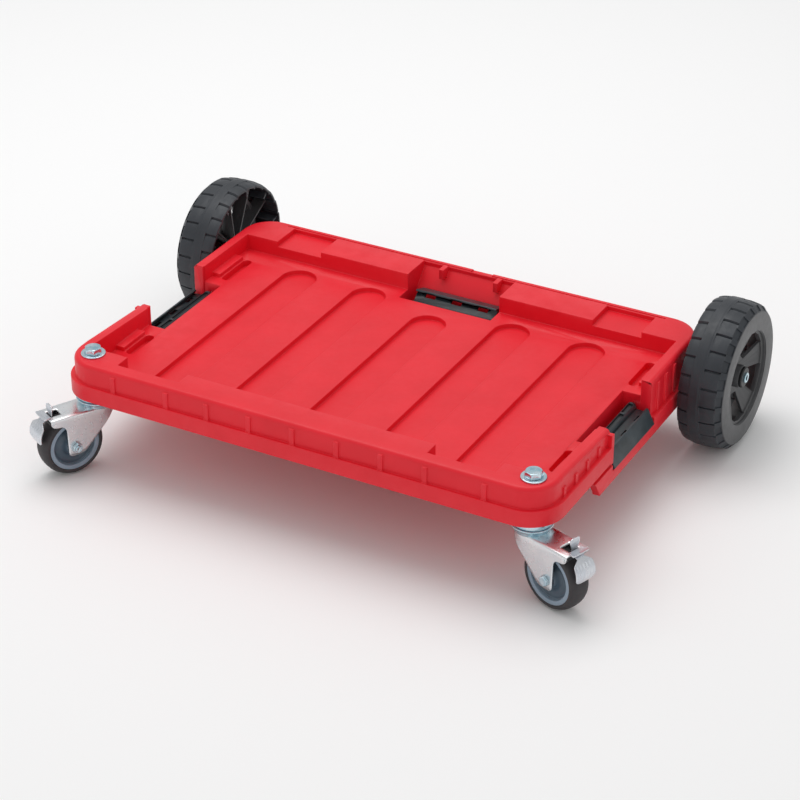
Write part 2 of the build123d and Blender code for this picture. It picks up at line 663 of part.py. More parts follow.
def make_caster(side, turn, name):
    """One swivel caster: local X points along the trail, local Y up, local Z across the wheel."""
    angle = radians(turn)
    trail_dir = (side * sin(angle), -cos(angle), 0)
    across_dir = (trail_dir[1], -trail_dir[0], 0)
    foot = (side * swivel_x, mid_y + swivel_y, 0)
    flat = Plane(foot, x_dir=trail_dir, z_dir=(0, 0, 1))
    upright = Plane(foot, x_dir=trail_dir, z_dir=across_dir)
    hub = upright.from_local_coords(Vector(trail, caster_r, 0))
    spin = Axis(hub, across_dir)
    swivel = Axis(foot, (0, 0, 1))

    def ring(points, axis):
        """Revolve points given on the upright plane."""
        with BuildSketch(upright) as section:
            with BuildLine():
                Polyline(*points, close=True)
            make_face()
        revolve(section.sketch, axis=axis)

    def wheel_ring(points):
        """Revolve (across, radius) points about the wheel axle."""
        plane = Plane(hub, x_dir=across_dir, z_dir=trail_dir)
        with BuildSketch(plane) as section:
            with BuildLine():
                Polyline(*points, close=True)
            make_face()
        revolve(section.sketch, axis=spin)

    with BuildPart() as top_race:
        ring((
            (bolt_r, race_low), (race_r - 2, race_low), (race_r - 2, crown_top - 1),
            (race_r, crown_top - 1), (race_r, mount_z), (bolt_r, mount_z),
        ), swivel)
    save(top_race, f"{name}_caster_top_race")

    with BuildPart() as balls:
        with Locations(flat.offset((race_low + crown_top) / 2)):
            with PolarLocations(ball_ring_r, ball_n):
                Sphere(ball_r)
    save(balls, f"{name}_caster_balls")

    with BuildPart() as lower_race:
        ring((
            (bolt_r, lower_race_z0), (12, lower_race_z0),
            (cheek_in - 1, lower_race_z1), (bolt_r, lower_race_z1),
        ), swivel)
    save(lower_race, f"{name}_caster_lower_race")

    cheek = (
        (-20, fork_z + fork_t), (-20, 75), (25, 26.5), (45, 26.5), (46.5, 64), (60, 64), (66.5, 71),
        (66.5, fork_z + fork_t),
    )
    corner_radii = (0, 12, 5, 4, 7, 4, 1.5, 0)
    with BuildPart() as fork:
        for s in (-1, 1):
            with BuildSketch(upright.offset(s * (cheek_in + fork_t / 2))) as plate:
                with BuildLine():
                    Polyline(*cheek, close=True)
                make_face()
                for corner, radius in zip(cheek, corner_radii):
                    if radius:
                        fillet(plate.vertices().sort_by_distance(Vector(*corner))[0], radius)
                with Locations((trail, caster_r)):
                    Circle(caster_axle_r, mode=Mode.SUBTRACT)
                with Locations(brake_pin):
                    Circle(pin_r, mode=Mode.SUBTRACT)
            extrude(plate.sketch, amount=fork_t / 2, both=True)
        with BuildSketch(flat.offset(fork_z)) as top:
            with Locations((22, 0)):
                Rectangle(84, 2 * (cheek_in + 1))
            Circle(race_r)
            with Locations((30, 0)):
                Circle(2.5, mode=Mode.SUBTRACT)
            with Locations((51, 0)):
                Rectangle(12, 9, mode=Mode.SUBTRACT)
        extrude(top.sketch, amount=fork_t)
        ring((
            (bolt_r, crown_top - fork_t), (17, crown_top - fork_t), (21, fork_z + 1),
            (race_r + 1.5, fork_z + 1), (18.4, crown_top), (bolt_r, crown_top),
        ), swivel)
        with BuildSketch(flat.offset(fork_z - 1)) as hole:
            Circle(bolt_r + fit_gap)
        extrude(hole.sketch, amount=20, mode=Mode.SUBTRACT)
    save(fork, f"{name}_caster_fork")

    nut_side = cheek_in + fork_t
    hub_disc = upright.offset(-nut_side - 6)
    with BuildPart() as bolt:
        with BuildSketch(hub_disc) as shank:
            with Locations((trail, caster_r)):
                Circle(caster_axle_r)
        extrude(shank.sketch, amount=2 * nut_side + 8.5)
        with BuildSketch(upright.offset(nut_side)) as head:
            with Locations((trail, caster_r)):
                RegularPolygon(6.5, 6, major_radius=False)
        extrude(head.sketch, amount=4.5)
    save(bolt, f"{name}_caster_axle")

    with BuildPart() as nut:
        with BuildSketch(upright.offset(-nut_side)) as hexagon:
            with Locations((trail, caster_r)):
                RegularPolygon(6.5, 6, major_radius=False)
                Circle(caster_axle_r, mode=Mode.SUBTRACT)
        extrude(hexagon.sketch, amount=-5)
    save(nut, f"{name}_caster_axle_nut")

    with BuildPart() as sleeve:
        wheel_ring((
            (-cheek_in, caster_axle_r), (cheek_in, caster_axle_r),
            (cheek_in, sleeve_r), (-cheek_in, sleeve_r),
        ))
    save(sleeve, f"{name}_caster_sleeve")

    w = caster_w / 2
    with BuildPart() as tyre:
        wheel_ring((
            (-w, 27), (w, 27), (w, caster_r - 4), (w - 2.5, caster_r - 1), (w - 6, caster_r),
            (6 - w, caster_r), (2.5 - w, caster_r - 1), (-w, caster_r - 4),
        ))
    save(tyre, f"{name}_caster_tyre")

    with BuildPart() as rim:
        wheel_ring((
            (-w - 0.8, sleeve_r + fit_gap), (w + 0.8, sleeve_r + fit_gap), (w + 0.8, 10),
            (4, 12), (4, 22), (w - 1, 24), (w - 1, 27), (1 - w, 27), (1 - w, 24), (-4, 22),
            (-4, 12), (-w - 0.8, 10),
        ))
    save(rim, f"{name}_caster_rim")

    px, pz = brake_pin
    with BuildPart() as pedal:
        with BuildSketch(upright) as barrel:
            with Locations(brake_pin):
                Circle(brake_barrel_r)
        extrude(barrel.sketch, amount=cheek_in - 0.7, both=True)
        with BuildSketch(upright) as arm:
            with BuildLine():
                Polyline(
                    (px, pz + 4.3), (72, pz + 4.3), (pedal_reach - 2, 68), (pedal_reach, 58),
                    (pedal_reach - 0.5, 50), (pedal_reach - 3, 50), (pedal_reach - 2.6, 58),
                    (pedal_reach - 4.4, 67), (71, pz + 1.8), (px, pz + 1.8), close=True,
                )
            make_face()
        extrude(arm.sketch, amount=neck_w / 2, both=True)
        with BuildSketch(upright) as tread:
            with BuildLine():
                Polyline(
                    (pedal_reach - 4.2, 71), (pedal_reach - 2, 68), (pedal_reach, 58),
                    (pedal_reach - 0.5, 50), (pedal_reach - 3, 50), (pedal_reach - 2.6, 58),
                    (pedal_reach - 4.4, 67), (pedal_reach - 6.2, 69), close=True,
                )
            make_face()
        extrude(tread.sketch, amount=pedal_w / 2, both=True)
        with BuildSketch(upright) as bore:
            with Locations(brake_pin):
                Circle(pin_r + fit_gap)
        extrude(bore.sketch, amount=pedal_w, both=True, mode=Mode.SUBTRACT)
    save(pedal, f"{name}_brake_pedal")

    with BuildPart() as tab:
        with BuildSketch(upright) as strip:
            with BuildLine():
                Polyline(
                    (66.8, pz + 4.3), (71, pz + 4.3), (71, pz + 6.3), (69.6, pz + 7),
                    (71.4, pz + 14), (76, pz + 17.5), (74.8, pz + 18.8), (69.6, pz + 15.4),
                    (66.8, pz + 7), close=True,
                )
            make_face()
        extrude(strip.sketch, amount=tab_w / 2, both=True)
    save(tab, f"{name}_brake_release")

    with BuildPart() as pin:
        with BuildSketch(upright) as disc:
            with Locations(brake_pin):
                Circle(pin_r)
        extrude(disc.sketch, amount=cheek_in + fork_t + 0.8, both=True)
    save(pin, f"{name}_brake_pin")


make_caster(-1, left_turn, "left")
make_caster(1, right_turn, "right")
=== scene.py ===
"""Dress the moulded platform dolly: finishes, rounded edges, treads and pressed caster parts.

Everything is in metres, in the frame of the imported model: +X to the right, the front faces -Y,
+Z up. Sizes that come from the model are read from its boxes and joints.
"""

import json
import logging
from dataclasses import dataclass
from enum import Enum
from math import cos, hypot, pi, radians, sin
from typing import Sequence

import bmesh
import bpy
import numpy as np
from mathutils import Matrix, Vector

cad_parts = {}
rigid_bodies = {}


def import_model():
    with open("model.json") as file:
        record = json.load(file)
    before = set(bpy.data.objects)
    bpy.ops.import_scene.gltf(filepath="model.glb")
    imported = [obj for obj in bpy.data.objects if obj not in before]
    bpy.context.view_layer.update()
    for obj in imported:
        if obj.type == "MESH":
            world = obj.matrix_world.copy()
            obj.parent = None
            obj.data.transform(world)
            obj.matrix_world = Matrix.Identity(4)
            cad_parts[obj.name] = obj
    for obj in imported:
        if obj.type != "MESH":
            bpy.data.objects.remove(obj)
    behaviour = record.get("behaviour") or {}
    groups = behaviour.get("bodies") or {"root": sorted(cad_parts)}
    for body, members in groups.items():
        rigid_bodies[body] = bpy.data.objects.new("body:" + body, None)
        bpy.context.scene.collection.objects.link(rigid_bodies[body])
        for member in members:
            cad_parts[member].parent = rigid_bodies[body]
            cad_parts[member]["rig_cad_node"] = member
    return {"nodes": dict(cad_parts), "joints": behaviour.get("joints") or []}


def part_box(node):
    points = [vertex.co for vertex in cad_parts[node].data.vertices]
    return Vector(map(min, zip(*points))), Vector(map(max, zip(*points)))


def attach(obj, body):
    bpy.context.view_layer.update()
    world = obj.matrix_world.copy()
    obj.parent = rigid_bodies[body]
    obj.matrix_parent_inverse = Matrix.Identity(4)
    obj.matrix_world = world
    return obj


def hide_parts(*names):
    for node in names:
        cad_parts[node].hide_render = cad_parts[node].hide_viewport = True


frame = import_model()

logging.basicConfig(level=logging.INFO, format="%(name)s: %(message)s")
log = logging.getLogger("platform_dolly")

MM = 0.001
Colour = tuple[float, float, float]


class Side(Enum):
    """The two sides of the dolly, with their sign along X."""

    LEFT = -1
    RIGHT = 1

    @property
    def label(self) -> str:
        """Name used in node and body names."""
        return self.name.lower()


def joint_at(name: str) -> tuple[np.ndarray, np.ndarray]:
    """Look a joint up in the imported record.

    Args:
        name: joint name.

    Returns:
        Its position and its unit axis, in metres in the row frame.
    """
    joint = next(j for j in frame["joints"] if j["name"] == name)
    axis = np.array(joint["axis"], float)
    return np.array(joint["pos_m"], float), axis / np.linalg.norm(axis)


# ---------------------------------------------------------------- shapes


@dataclass(frozen=True)
class Axes:
    """A local frame: an origin and three unit directions, right-handed."""

    origin: np.ndarray
    first: np.ndarray
    second: np.ndarray
    third: np.ndarray

    def place(self, a: np.ndarray, b: np.ndarray, c: np.ndarray) -> np.ndarray:
        """Turn local coordinates into points of the row frame.

        Args:
            a: distances along the first direction, in metres.
            b: distances along the second direction.
            c: distances along the third direction.

        Returns:
            Points, with one more axis of length three.
        """
        a, b, c = np.broadcast_arrays(a, b, c)
        return (
            self.origin
            + a[..., None] * self.first
            + b[..., None] * self.second
            + c[..., None] * self.third
        )

    def moved(self, along: float) -> "Axes":
        """The same frame, its origin moved along the first direction."""
        return Axes(self.origin + self.first * along, self.first, self.second, self.third)


def grid_quads(rows: int, columns: int, wrap: bool, start: int = 0) -> np.ndarray:
    """Quads of a grid of points counted row by row.

    Args:
        rows: number of rows.
        columns: number of points in a row.
        wrap: whether the last row joins the first.
        start: index of the first point.

    Returns:
        Array of quads, four indices each.
    """
    row = np.arange(rows if wrap else rows - 1)
    column = np.arange(columns - 1)
    r, c = np.meshgrid(row, column, indexing="ij")
    after = (r + 1) % rows
    quads = np.stack(
        [r * columns + c, after * columns + c, after * columns + c + 1, r * columns + c + 1], axis=-1
    )
    return quads.reshape(-1, 4) + start


@dataclass
class Sheet:
    """Points and quads that are being gathered into one piece."""

    points: list[np.ndarray]
    quads: list[np.ndarray]

    @classmethod
    def empty(cls) -> "Sheet":
        """A piece with nothing in it yet."""
        return cls([], [])

    @property
    def count(self) -> int:
        """Number of points so far."""
        return sum(len(p) for p in self.points)

    def add_grid(self, points: np.ndarray, wrap: bool = False, drop: np.ndarray | None = None) -> None:
        """Add a grid of points with quads between them.

        Args:
            points: array of rows by columns by three.
            wrap: whether the last row joins the first.
            drop: mask of the cells that stay open, rows by columns less one each.
        """
        rows, columns = points.shape[:2]
        quads = grid_quads(rows, columns, wrap, self.count)
        if drop is not None:
            quads = quads[~drop.reshape(-1)]
        self.points.append(points.reshape(-1, 3))
        self.quads.append(quads)

    def add_ring(self, axes: Axes, profile: np.ndarray, steps: int = 72) -> None:
        """Add a closed ring: the profile (along, radius) is carried once round the first direction.

        A point at angle t sits at along * first + radius * (cos t * second + sin t * third).

        Args:
            axes: frame whose first direction is the axis.
            profile: closed outline as pairs of distance along the axis and radius.
            steps: number of steps round.
        """
        angle = np.linspace(0, 2 * pi, steps, endpoint=False)[:, None]
        outline = np.vstack([profile, profile[:1]])
        along, radius = outline[:, 0][None, :], outline[:, 1][None, :]
        turned = axes.place(along + 0 * angle, radius * np.cos(angle), radius * np.sin(angle))
        self.add_grid(turned, wrap=True)

    def add_bar(self, axes: Axes, low: Sequence[float], high: Sequence[float]) -> None:
        """Add a closed bar between two local corners, as four sides and two ends.

        Args:
            axes: local frame.
            low: lowest local corner.
            high: highest local corner.
        """
        a = np.array([low[0], low[0], high[0], high[0]])
        b = np.array([low[1], high[1], high[1], low[1]])
        start = self.count
        self.points.append(np.vstack([axes.place(a, b, np.full(4, c)) for c in (low[2], high[2])]))
        faces = [(0, 1, 2, 3), (4, 5, 6, 7), (0, 1, 5, 4), (1, 2, 6, 5), (2, 3, 7, 6), (3, 0, 4, 7)]
        self.quads.append(np.array(faces) + start)

    def make(self, name: str, merge: float = 0.01 * MM) -> bpy.types.Object:
        """Build the mesh object, with its doubles merged and its faces turned outward.

        Args:
            name: name of the piece.
            merge: distance under which points become one.

        Returns:
            The new object, at the origin.
        """
        mesh = bpy.data.meshes.new(name)
        mesh.from_pydata(np.vstack(self.points), [], np.vstack(self.quads).tolist())
        tidy = bmesh.new()
        tidy.from_mesh(mesh)
        bmesh.ops.remove_doubles(tidy, verts=tidy.verts, dist=merge)
        bmesh.ops.dissolve_degenerate(tidy, edges=tidy.edges, dist=merge / 2)
        bmesh.ops.recalc_face_normals(tidy, faces=tidy.faces)
        tidy.to_mesh(mesh)
        tidy.free()
        return link_piece(name, mesh)


def link_piece(name: str, mesh: bpy.types.Mesh) -> bpy.types.Object:
    """Make an object of a mesh, smooth shaded, in the scene.

    Args:
        name: name of the piece.
        mesh: its mesh, already in place.

    Returns:
        The object.
    """
    mesh.polygons.foreach_set("use_smooth", np.ones(len(mesh.polygons), bool))
    piece = bpy.data.objects.new(name, mesh)
    bpy.context.scene.collection.objects.link(piece)
    return piece


def soften(piece: bpy.types.Object, width: float, segments: int = 2, angle: float = 32.0) -> None:
    """Round the sharp edges of a piece.

    Args:
        piece: the object.
        width: width of the rounding, in metres.
        segments: steps across the rounding.
        angle: edges sharper than this many degrees are rounded.
    """
    bevel = piece.modifiers.new("rounded_edges", "BEVEL")
    bevel.width = width
    bevel.segments = segments
    bevel.limit_method = "ANGLE"
    bevel.angle_limit = radians(angle)
    bevel.use_clamp_overlap = False
    bevel.harden_normals = True


def thicken(piece: bpy.types.Object, thickness: float) -> None:
    """Give an open sheet its thickness, inward.

    Args:
        piece: the object.
        thickness: sheet thickness, in metres.
    """
    wall = piece.modifiers.new("sheet_thickness", "SOLIDIFY")
    wall.thickness = thickness
    wall.offset = -1


def merged_copy(node: str, name: str) -> bpy.types.Object:
    """Copy a node of the model with its triangles merged into whole faces.

    Args:
        node: node to copy.
        name: name of the copy.

    Returns:
        The copy, at the origin, with the node's place in its mesh.
    """
    mesh = bpy.data.meshes.new(name)
    tidy = bmesh.new()
    tidy.from_mesh(frame["nodes"][node].data)
    bmesh.ops.remove_doubles(tidy, verts=tidy.verts, dist=0.01 * MM)
    bmesh.ops.dissolve_limit(tidy, angle_limit=radians(0.6), verts=tidy.verts, edges=tidy.edges)
    bmesh.ops.connect_verts_concave(tidy, faces=tidy.faces)
    for layer in list(tidy.loops.layers.uv):
        tidy.loops.layers.uv.remove(layer)
    tidy.to_mesh(mesh)
    tidy.free()
    return link_piece(name, mesh)


def rounded(points: Sequence[tuple[float, float, float]], steps: int = 5) -> np.ndarray:
    """Outline with rounded corners.

    Each corner (x, y, r) becomes an arc that starts and ends r from the corner along its two
    sides, drawn as a quadratic curve with the corner as its control point.

    Args:
        points: corners of a closed outline, with the rounding at each.
        steps: steps along each arc.

    Returns:
        Points of the outline.
    """
    corners = np.array(points, float)
    out = []
    for before, here, after in zip(np.roll(corners, 1, 0), corners, np.roll(corners, -1, 0)):
        centre, reach = here[:2], here[2]
        if reach <= 0:
            out.append(centre[None, :])
            continue
        start = centre + (before[:2] - centre) * min(0.49, reach / hypot(*(before[:2] - centre)))
        end = centre + (after[:2] - centre) * min(0.49, reach / hypot(*(after[:2] - centre)))
        t = np.linspace(0, 1, steps + 1)[:, None]
        out.append((1 - t) ** 2 * start + 2 * t * (1 - t) * centre + t**2 * end)
    return np.vstack(out)


def hex_ring(
    sheet: Sheet, axes: Axes, flats: float, height: float, bore: float, steps: int = 48
) -> None:
    """Add a hexagon head or nut with its corners turned down at the outer end.

    Round the axis the side stands at flats / 2 / cos(angle from the nearest flat); over the last
    tenth of the height it is held inside a cone, which leaves the curved bites at the corners.

    Args:
        sheet: piece to add to.
        axes: frame on the seat, its first direction outward.
        flats: size across the flats.
        height: height of the hexagon.
        bore: radius of the hole, or zero for a closed end.
        steps: number of steps round.
    """
    angle = np.linspace(0, 2 * pi, steps, endpoint=False)[:, None]
    from_flat = (angle + pi / 6) % (pi / 3) - pi / 6
    side = flats / 2 / np.cos(from_flat)
    levels = np.array([0, 0, 0.80, 0.86, 0.93, 0.97, 1.0, 1.0, 1.0])
    cone = np.array([0, 2, 2, 1.115, 1.05, 1.01, 0.965, 0.6, 0])[None, :] * flats / 2
    radius = np.minimum(side, cone)
    radius = np.maximum(radius, bore)
    along = levels[None, :] * height + 0 * angle
    points = axes.place(along, radius * np.cos(angle), radius * np.sin(angle))
    if bore > 0:
        points = np.concatenate([points, points[:, :1]], axis=1)
    sheet.add_grid(points, wrap=True)


# ---------------------------------------------------------------- finishes


def new_group(name: str, inputs: dict[str, object], outputs: dict[str, str]) -> bpy.types.NodeTree:
    """Start a shader group with named sockets.

    Args:
        name: name of the group.
        inputs: socket names with their default numbers or colours.
        outputs: socket names with their socket types.

    Returns:
        The tree, with a group input and a group output node in it.
    """
    tree = bpy.data.node_groups.new(name, "ShaderNodeTree")
    for label, value in inputs.items():
        kind = "NodeSocketColor" if isinstance(value, tuple) else "NodeSocketFloat"
        socket = tree.interface.new_socket(label, in_out="INPUT", socket_type=kind)
        socket.default_value = (*value, 1.0) if isinstance(value, tuple) else value
    for label, kind in outputs.items():
        tree.interface.new_socket(label, in_out="OUTPUT", socket_type=kind)
    tree.nodes.new("NodeGroupInput").name = "in"
    tree.nodes.new("NodeGroupOutput").name = "out"
    return tree


class Weave:
    """Short ways to add and join nodes in one tree."""

    def __init__(self, tree: bpy.types.NodeTree) -> None:
        """Work in this tree."""
        self.tree = tree

    def add(self, kind: str, **settings: object) -> bpy.types.Node:
        """Add a node and set its properties.

        Args:
            kind: node type without its ShaderNode prefix.
            settings: properties by name.

        Returns:
            The node.
        """
        node = self.tree.nodes.new("ShaderNode" + kind)
        for name, value in settings.items():
            setattr(node, name, value)
        return node

    def join(self, source: bpy.types.NodeSocket, target: bpy.types.NodeSocket) -> None:
        """Link two sockets."""
        self.tree.links.new(source, target)

    def math(self, operation: str, first: object, second: object = 0.5) -> bpy.types.NodeSocket:
        """Add a math node.

        Args:
            operation: its operation.
            first: socket or number.
            second: socket or number.

        Returns:
            Its output socket.
        """
        node = self.add("Math", operation=operation)
        for socket, value in zip(node.inputs, (first, second)):
            if isinstance(value, bpy.types.NodeSocket):
                self.join(value, socket)
            else:
                socket.default_value = value
        return node.outputs[0]

    def noise(
        self, scale: object, detail: float = 3.0, stretch: Sequence[float] = (1, 1, 1)
    ) -> bpy.types.NodeSocket:
        """Add a noise on object coordinates.

        Args:
            scale: number or socket.
            detail: octaves.
            stretch: scale of each axis before the noise.

        Returns:
            Its value, from 0 to 1.
        """
        where = self.add("TexCoord").outputs["Object"]
        mapping = self.add("Mapping")
        mapping.inputs["Scale"].default_value = stretch
        self.join(where, mapping.inputs["Vector"])
        noise = self.add("TexNoise")
        noise.inputs["Detail"].default_value = detail
        self.join(mapping.outputs["Vector"], noise.inputs["Vector"])
        if isinstance(scale, bpy.types.NodeSocket):
            self.join(scale, noise.inputs["Scale"])
        else:
            noise.inputs["Scale"].default_value = scale
        return noise.outputs["Fac"]

    def ramp(self, value: bpy.types.NodeSocket, low: float, high: float) -> bpy.types.NodeSocket:
        """Map low to high onto 0 to 1, held at both ends.

        Args:
            value: socket to map.
            low: value that becomes 0.
            high: value that becomes 1.

        Returns:
            Mapped socket.
        """
        node = self.add("MapRange", clamp=True)
        node.inputs["From Min"].default_value = low
        node.inputs["From Max"].default_value = high
        self.join(value, node.inputs["Value"])
        return node.outputs["Result"]

    def mix(self, amount: object, first: object, second: object) -> bpy.types.NodeSocket:
        """Mix two colours.

        Args:
            amount: socket or number.
            first: colour or socket at 0.
            second: colour or socket at 1.

        Returns:
            Mixed colour.
        """
        node = self.add("Mix", data_type="RGBA")
        for socket, value in zip((node.inputs[0], node.inputs[6], node.inputs[7]), (amount, first, second)):
            if isinstance(value, bpy.types.NodeSocket):
                self.join(value, socket)
            elif isinstance(value, tuple):
                socket.default_value = (*value, 1.0)
            else:
                socket.default_value = value
        return node.outputs[2]


def grain_group() -> bpy.types.NodeTree:
    """Moulding grain: a fine pebble height and a broad cloudy tone, both from noise.

    Returns:
        Group with Height, Tone and Gloss outputs.
    """
    tree = new_group(
        "moulding_grain",
        {"Grain Scale": 1500.0, "Grain Depth": 0.5, "Tone Scale": 22.0},
        {"Height": "NodeSocketFloat", "Tone": "NodeSocketFloat", "Gloss": "NodeSocketFloat"},
    )
    weave, given, out = Weave(tree), tree.nodes["in"], tree.nodes["out"]
    fine = weave.noise(given.outputs["Grain Scale"], 2.0)
    weave.join(weave.math("MULTIPLY", fine, given.outputs["Grain Depth"]), out.inputs["Height"])
    broad = weave.noise(given.outputs["Tone Scale"], 4.0)
    weave.join(weave.ramp(broad, 0.32, 0.68), out.inputs["Tone"])
    weave.join(weave.ramp(weave.noise(140.0, 5.0), 0.3, 0.7), out.inputs["Gloss"])
    return tree


def edge_group() -> bpy.types.NodeTree:
    """Painted edge highlight: convex edges take a second, lighter colour, broken up by a noise.

    Returns:
        Group with Color and Mask outputs.
    """
    tree = new_group(
        "edge_wear",
        {"Color": (0.5, 0.5, 0.5), "Edge Color": (0.8, 0.8, 0.8), "Amount": 0.5},
        {"Color": "NodeSocketColor", "Mask": "NodeSocketFloat"},
    )
    weave, given, out = Weave(tree), tree.nodes["in"], tree.nodes["out"]
    # Pointiness picks out the convex edges, which take the lighter colour as a painted highlight.
    sharp = weave.ramp(weave.add("NewGeometry").outputs["Pointiness"], 0.51, 0.57)
    broken = weave.ramp(weave.noise(60.0, 6.0), 0.3, 0.75)
    mask = weave.math("MULTIPLY", weave.math("MULTIPLY", sharp, broken), given.outputs["Amount"])
    weave.join(weave.mix(mask, given.outputs["Color"], given.outputs["Edge Color"]), out.inputs["Color"])
    weave.join(mask, out.inputs["Mask"])
    return tree


def plating_group() -> bpy.types.NodeTree:
    """Zinc plating: a cloudy tint between two colours and fine rolling marks.

    Returns:
        Group with Color, Rough and Height outputs.
    """
    tree = new_group(
        "zinc_plating",
        {"Color": (0.7, 0.7, 0.7), "Tint": (0.6, 0.7, 0.8), "Cloud Scale": 60.0, "Mark Depth": 0.3},
        {"Color": "NodeSocketColor", "Rough": "NodeSocketFloat", "Height": "NodeSocketFloat"},
    )
    weave, given, out = Weave(tree), tree.nodes["in"], tree.nodes["out"]
    cloud = weave.ramp(weave.noise(given.outputs["Cloud Scale"], 4.0), 0.35, 0.65)
    weave.join(weave.mix(cloud, given.outputs["Color"], given.outputs["Tint"]), out.inputs["Color"])
    marks = weave.noise(420.0, 3.0, (1.0, 1.0, 9.0))
    weave.join(weave.math("MULTIPLY", marks, given.outputs["Mark Depth"]), out.inputs["Height"])
    weave.join(weave.ramp(weave.noise(230.0, 4.0), 0.25, 0.75), out.inputs["Rough"])
    return tree


class Effects:
    """The shader groups, each built once."""

    def __init__(self) -> None:
        """Build the groups."""
        self.grain = grain_group()
        self.edges = edge_group()
        self.plating = plating_group()


def start_material(name: str) -> tuple[bpy.types.Material, Weave, bpy.types.Node]:
    """Start a node material.

    Args:
        name: name of the material.

    Returns:
        The material, a helper for its tree, and its Principled BSDF.
    """
    material = bpy.data.materials.new(name)
    material.use_nodes = True
    weave = Weave(material.node_tree)
    return material, weave, material.node_tree.nodes["Principled BSDF"]


def place_group(weave: Weave, tree: bpy.types.NodeTree, values: dict[str, object]) -> bpy.types.Node:
    """Put a shader group into a material.

    Args:
        weave: helper for the material's tree.
        tree: the group.
        values: numbers or colours for its inputs.

    Returns:
        The group node.
    """
    node = weave.add("Group", node_tree=tree)
    for label, value in values.items():
        node.inputs[label].default_value = (*value, 1.0) if isinstance(value, tuple) else value
    return node


def add_bump(weave: Weave, shader: bpy.types.Node, height: bpy.types.NodeSocket, reach: float) -> None:
    """Feed a height to the shader's normal.

    Args:
        weave: helper for the tree.
        shader: the Principled BSDF.
        height: height socket.
        reach: bump distance, in metres.
    """
    bump = weave.add("Bump")
    bump.inputs["Distance"].default_value = reach
    weave.join(height, bump.inputs["Height"])
    weave.join(bump.outputs["Normal"], shader.inputs["Normal"])


@dataclass(frozen=True)
class Moulding:
    """A moulded plastic or rubber."""

    name: str
    colour: Colour
    deep: Colour
    # edge is the lighter colour painted on convex edges as a highlight.
    edge: Colour
    roughness: float
    rough_spread: float = 0.08
    grain_scale: float = 1500.0
    grain_depth: float = 0.5
    tone_scale: float = 22.0
    edge_amount: float = 0.4
    specular: float = 0.5

    def build(self, effects: Effects) -> bpy.types.Material:
        """Make the material: cloudy colour, lighter edges as a painted highlight, uneven gloss and a fine
        pebble.

        Args:
            effects: the shared groups.

        Returns:
            The material.
        """
        material, weave, shader = start_material(self.name)
        grain = place_group(weave, effects.grain, {
            "Grain Scale": self.grain_scale, "Grain Depth": self.grain_depth, "Tone Scale": self.tone_scale,
        })
        body = weave.mix(grain.outputs["Tone"], self.deep, self.colour)
        # Painted highlight: convex edges lightened towards the edge colour.
        edge_highlight = place_group(weave, effects.edges, {"Edge Color": self.edge, "Amount": self.edge_amount})
        weave.join(body, edge_highlight.inputs["Color"])
        weave.join(edge_highlight.outputs["Color"], shader.inputs["Base Color"])
        spread = weave.math("MULTIPLY", grain.outputs["Gloss"], self.rough_spread)
        weave.join(weave.math("ADD", spread, self.roughness), shader.inputs["Roughness"])
        shader.inputs["Specular IOR Level"].default_value = self.specular
        add_bump(weave, shader, grain.outputs["Height"], 0.12 * MM)
        return material


# Near-white colour painted on the convex edges of metal parts as a highlight.
EDGE_HIGHLIGHT_WHITE: Colour = (0.93, 0.94, 0.95)


@dataclass(frozen=True)
class Plating:
    """A plated or polished metal."""

    name: str
    colour: Colour
    tint: Colour
    roughness: float
    rough_spread: float = 0.12
    cloud_scale: float = 60.0
    mark_depth: float = 0.3
    edge_amount: float = 0.5

    def build(self, effects: Effects) -> bpy.types.Material:
        """Make the material: two plating tints, brighter edges as a painted highlight and faint rolling
        marks.

        Args:
            effects: the shared groups.

        Returns:
            The material.
        """
        material, weave, shader = start_material(self.name)
        plate = place_group(weave, effects.plating, {
            "Color": self.colour, "Tint": self.tint, "Cloud Scale": self.cloud_scale,
            "Mark Depth": self.mark_depth,
        })
        # Painted highlight: convex edges brightened towards near white.
        edge_highlight = place_group(weave, effects.edges, {"Edge Color": EDGE_HIGHLIGHT_WHITE, "Amount": self.edge_amount})
        weave.join(plate.outputs["Color"], edge_highlight.inputs["Color"])
        weave.join(edge_highlight.outputs["Color"], shader.inputs["Base Color"])
        spread = weave.math("MULTIPLY", plate.outputs["Rough"], self.rough_spread)
        weave.join(weave.math("ADD", spread, self.roughness), shader.inputs["Roughness"])
        shader.inputs["Metallic"].default_value = 1.0
        add_bump(weave, shader, plate.outputs["Height"], 0.05 * MM)
        return material


# The third colour and the edge amount of each moulding set its painted edge highlight.
DECK_RED = Moulding(
    "deck_red", (0.80, 0.010, 0.024), (0.74, 0.007, 0.019), (0.90, 0.06, 0.08), 0.38,
    grain_depth=0.35, edge_amount=0.5, specular=0.36,
)
LATCH_BLACK = Moulding(
    "latch_black", (0.016, 0.023, 0.027), (0.011, 0.016, 0.019), (0.07, 0.10, 0.12), 0.34, edge_amount=0.6,
)
WHEEL_TYRE = Moulding(
    "wheel_tyre", (0.024, 0.029, 0.037), (0.016, 0.020, 0.026), (0.07, 0.08, 0.09), 0.40,
    rough_spread=0.16, grain_depth=0.8, tone_scale=35.0, edge_amount=0.5,
)
WHEEL_RIM = Moulding(
    "wheel_rim", (0.070, 0.071, 0.074), (0.052, 0.053, 0.056), (0.18, 0.18, 0.19), 0.38, edge_amount=0.6,
)
BUSH_BLACK = Moulding("bush_black", (0.010, 0.010, 0.011), (0.007, 0.007, 0.008), (0.05, 0.05, 0.05), 0.4)
CASTER_TYRE = Moulding(
    "caster_tyre", (0.046, 0.042, 0.045), (0.034, 0.031, 0.034), (0.09, 0.08, 0.08), 0.55,
    grain_depth=0.6, tone_scale=60.0, specular=0.35,
)
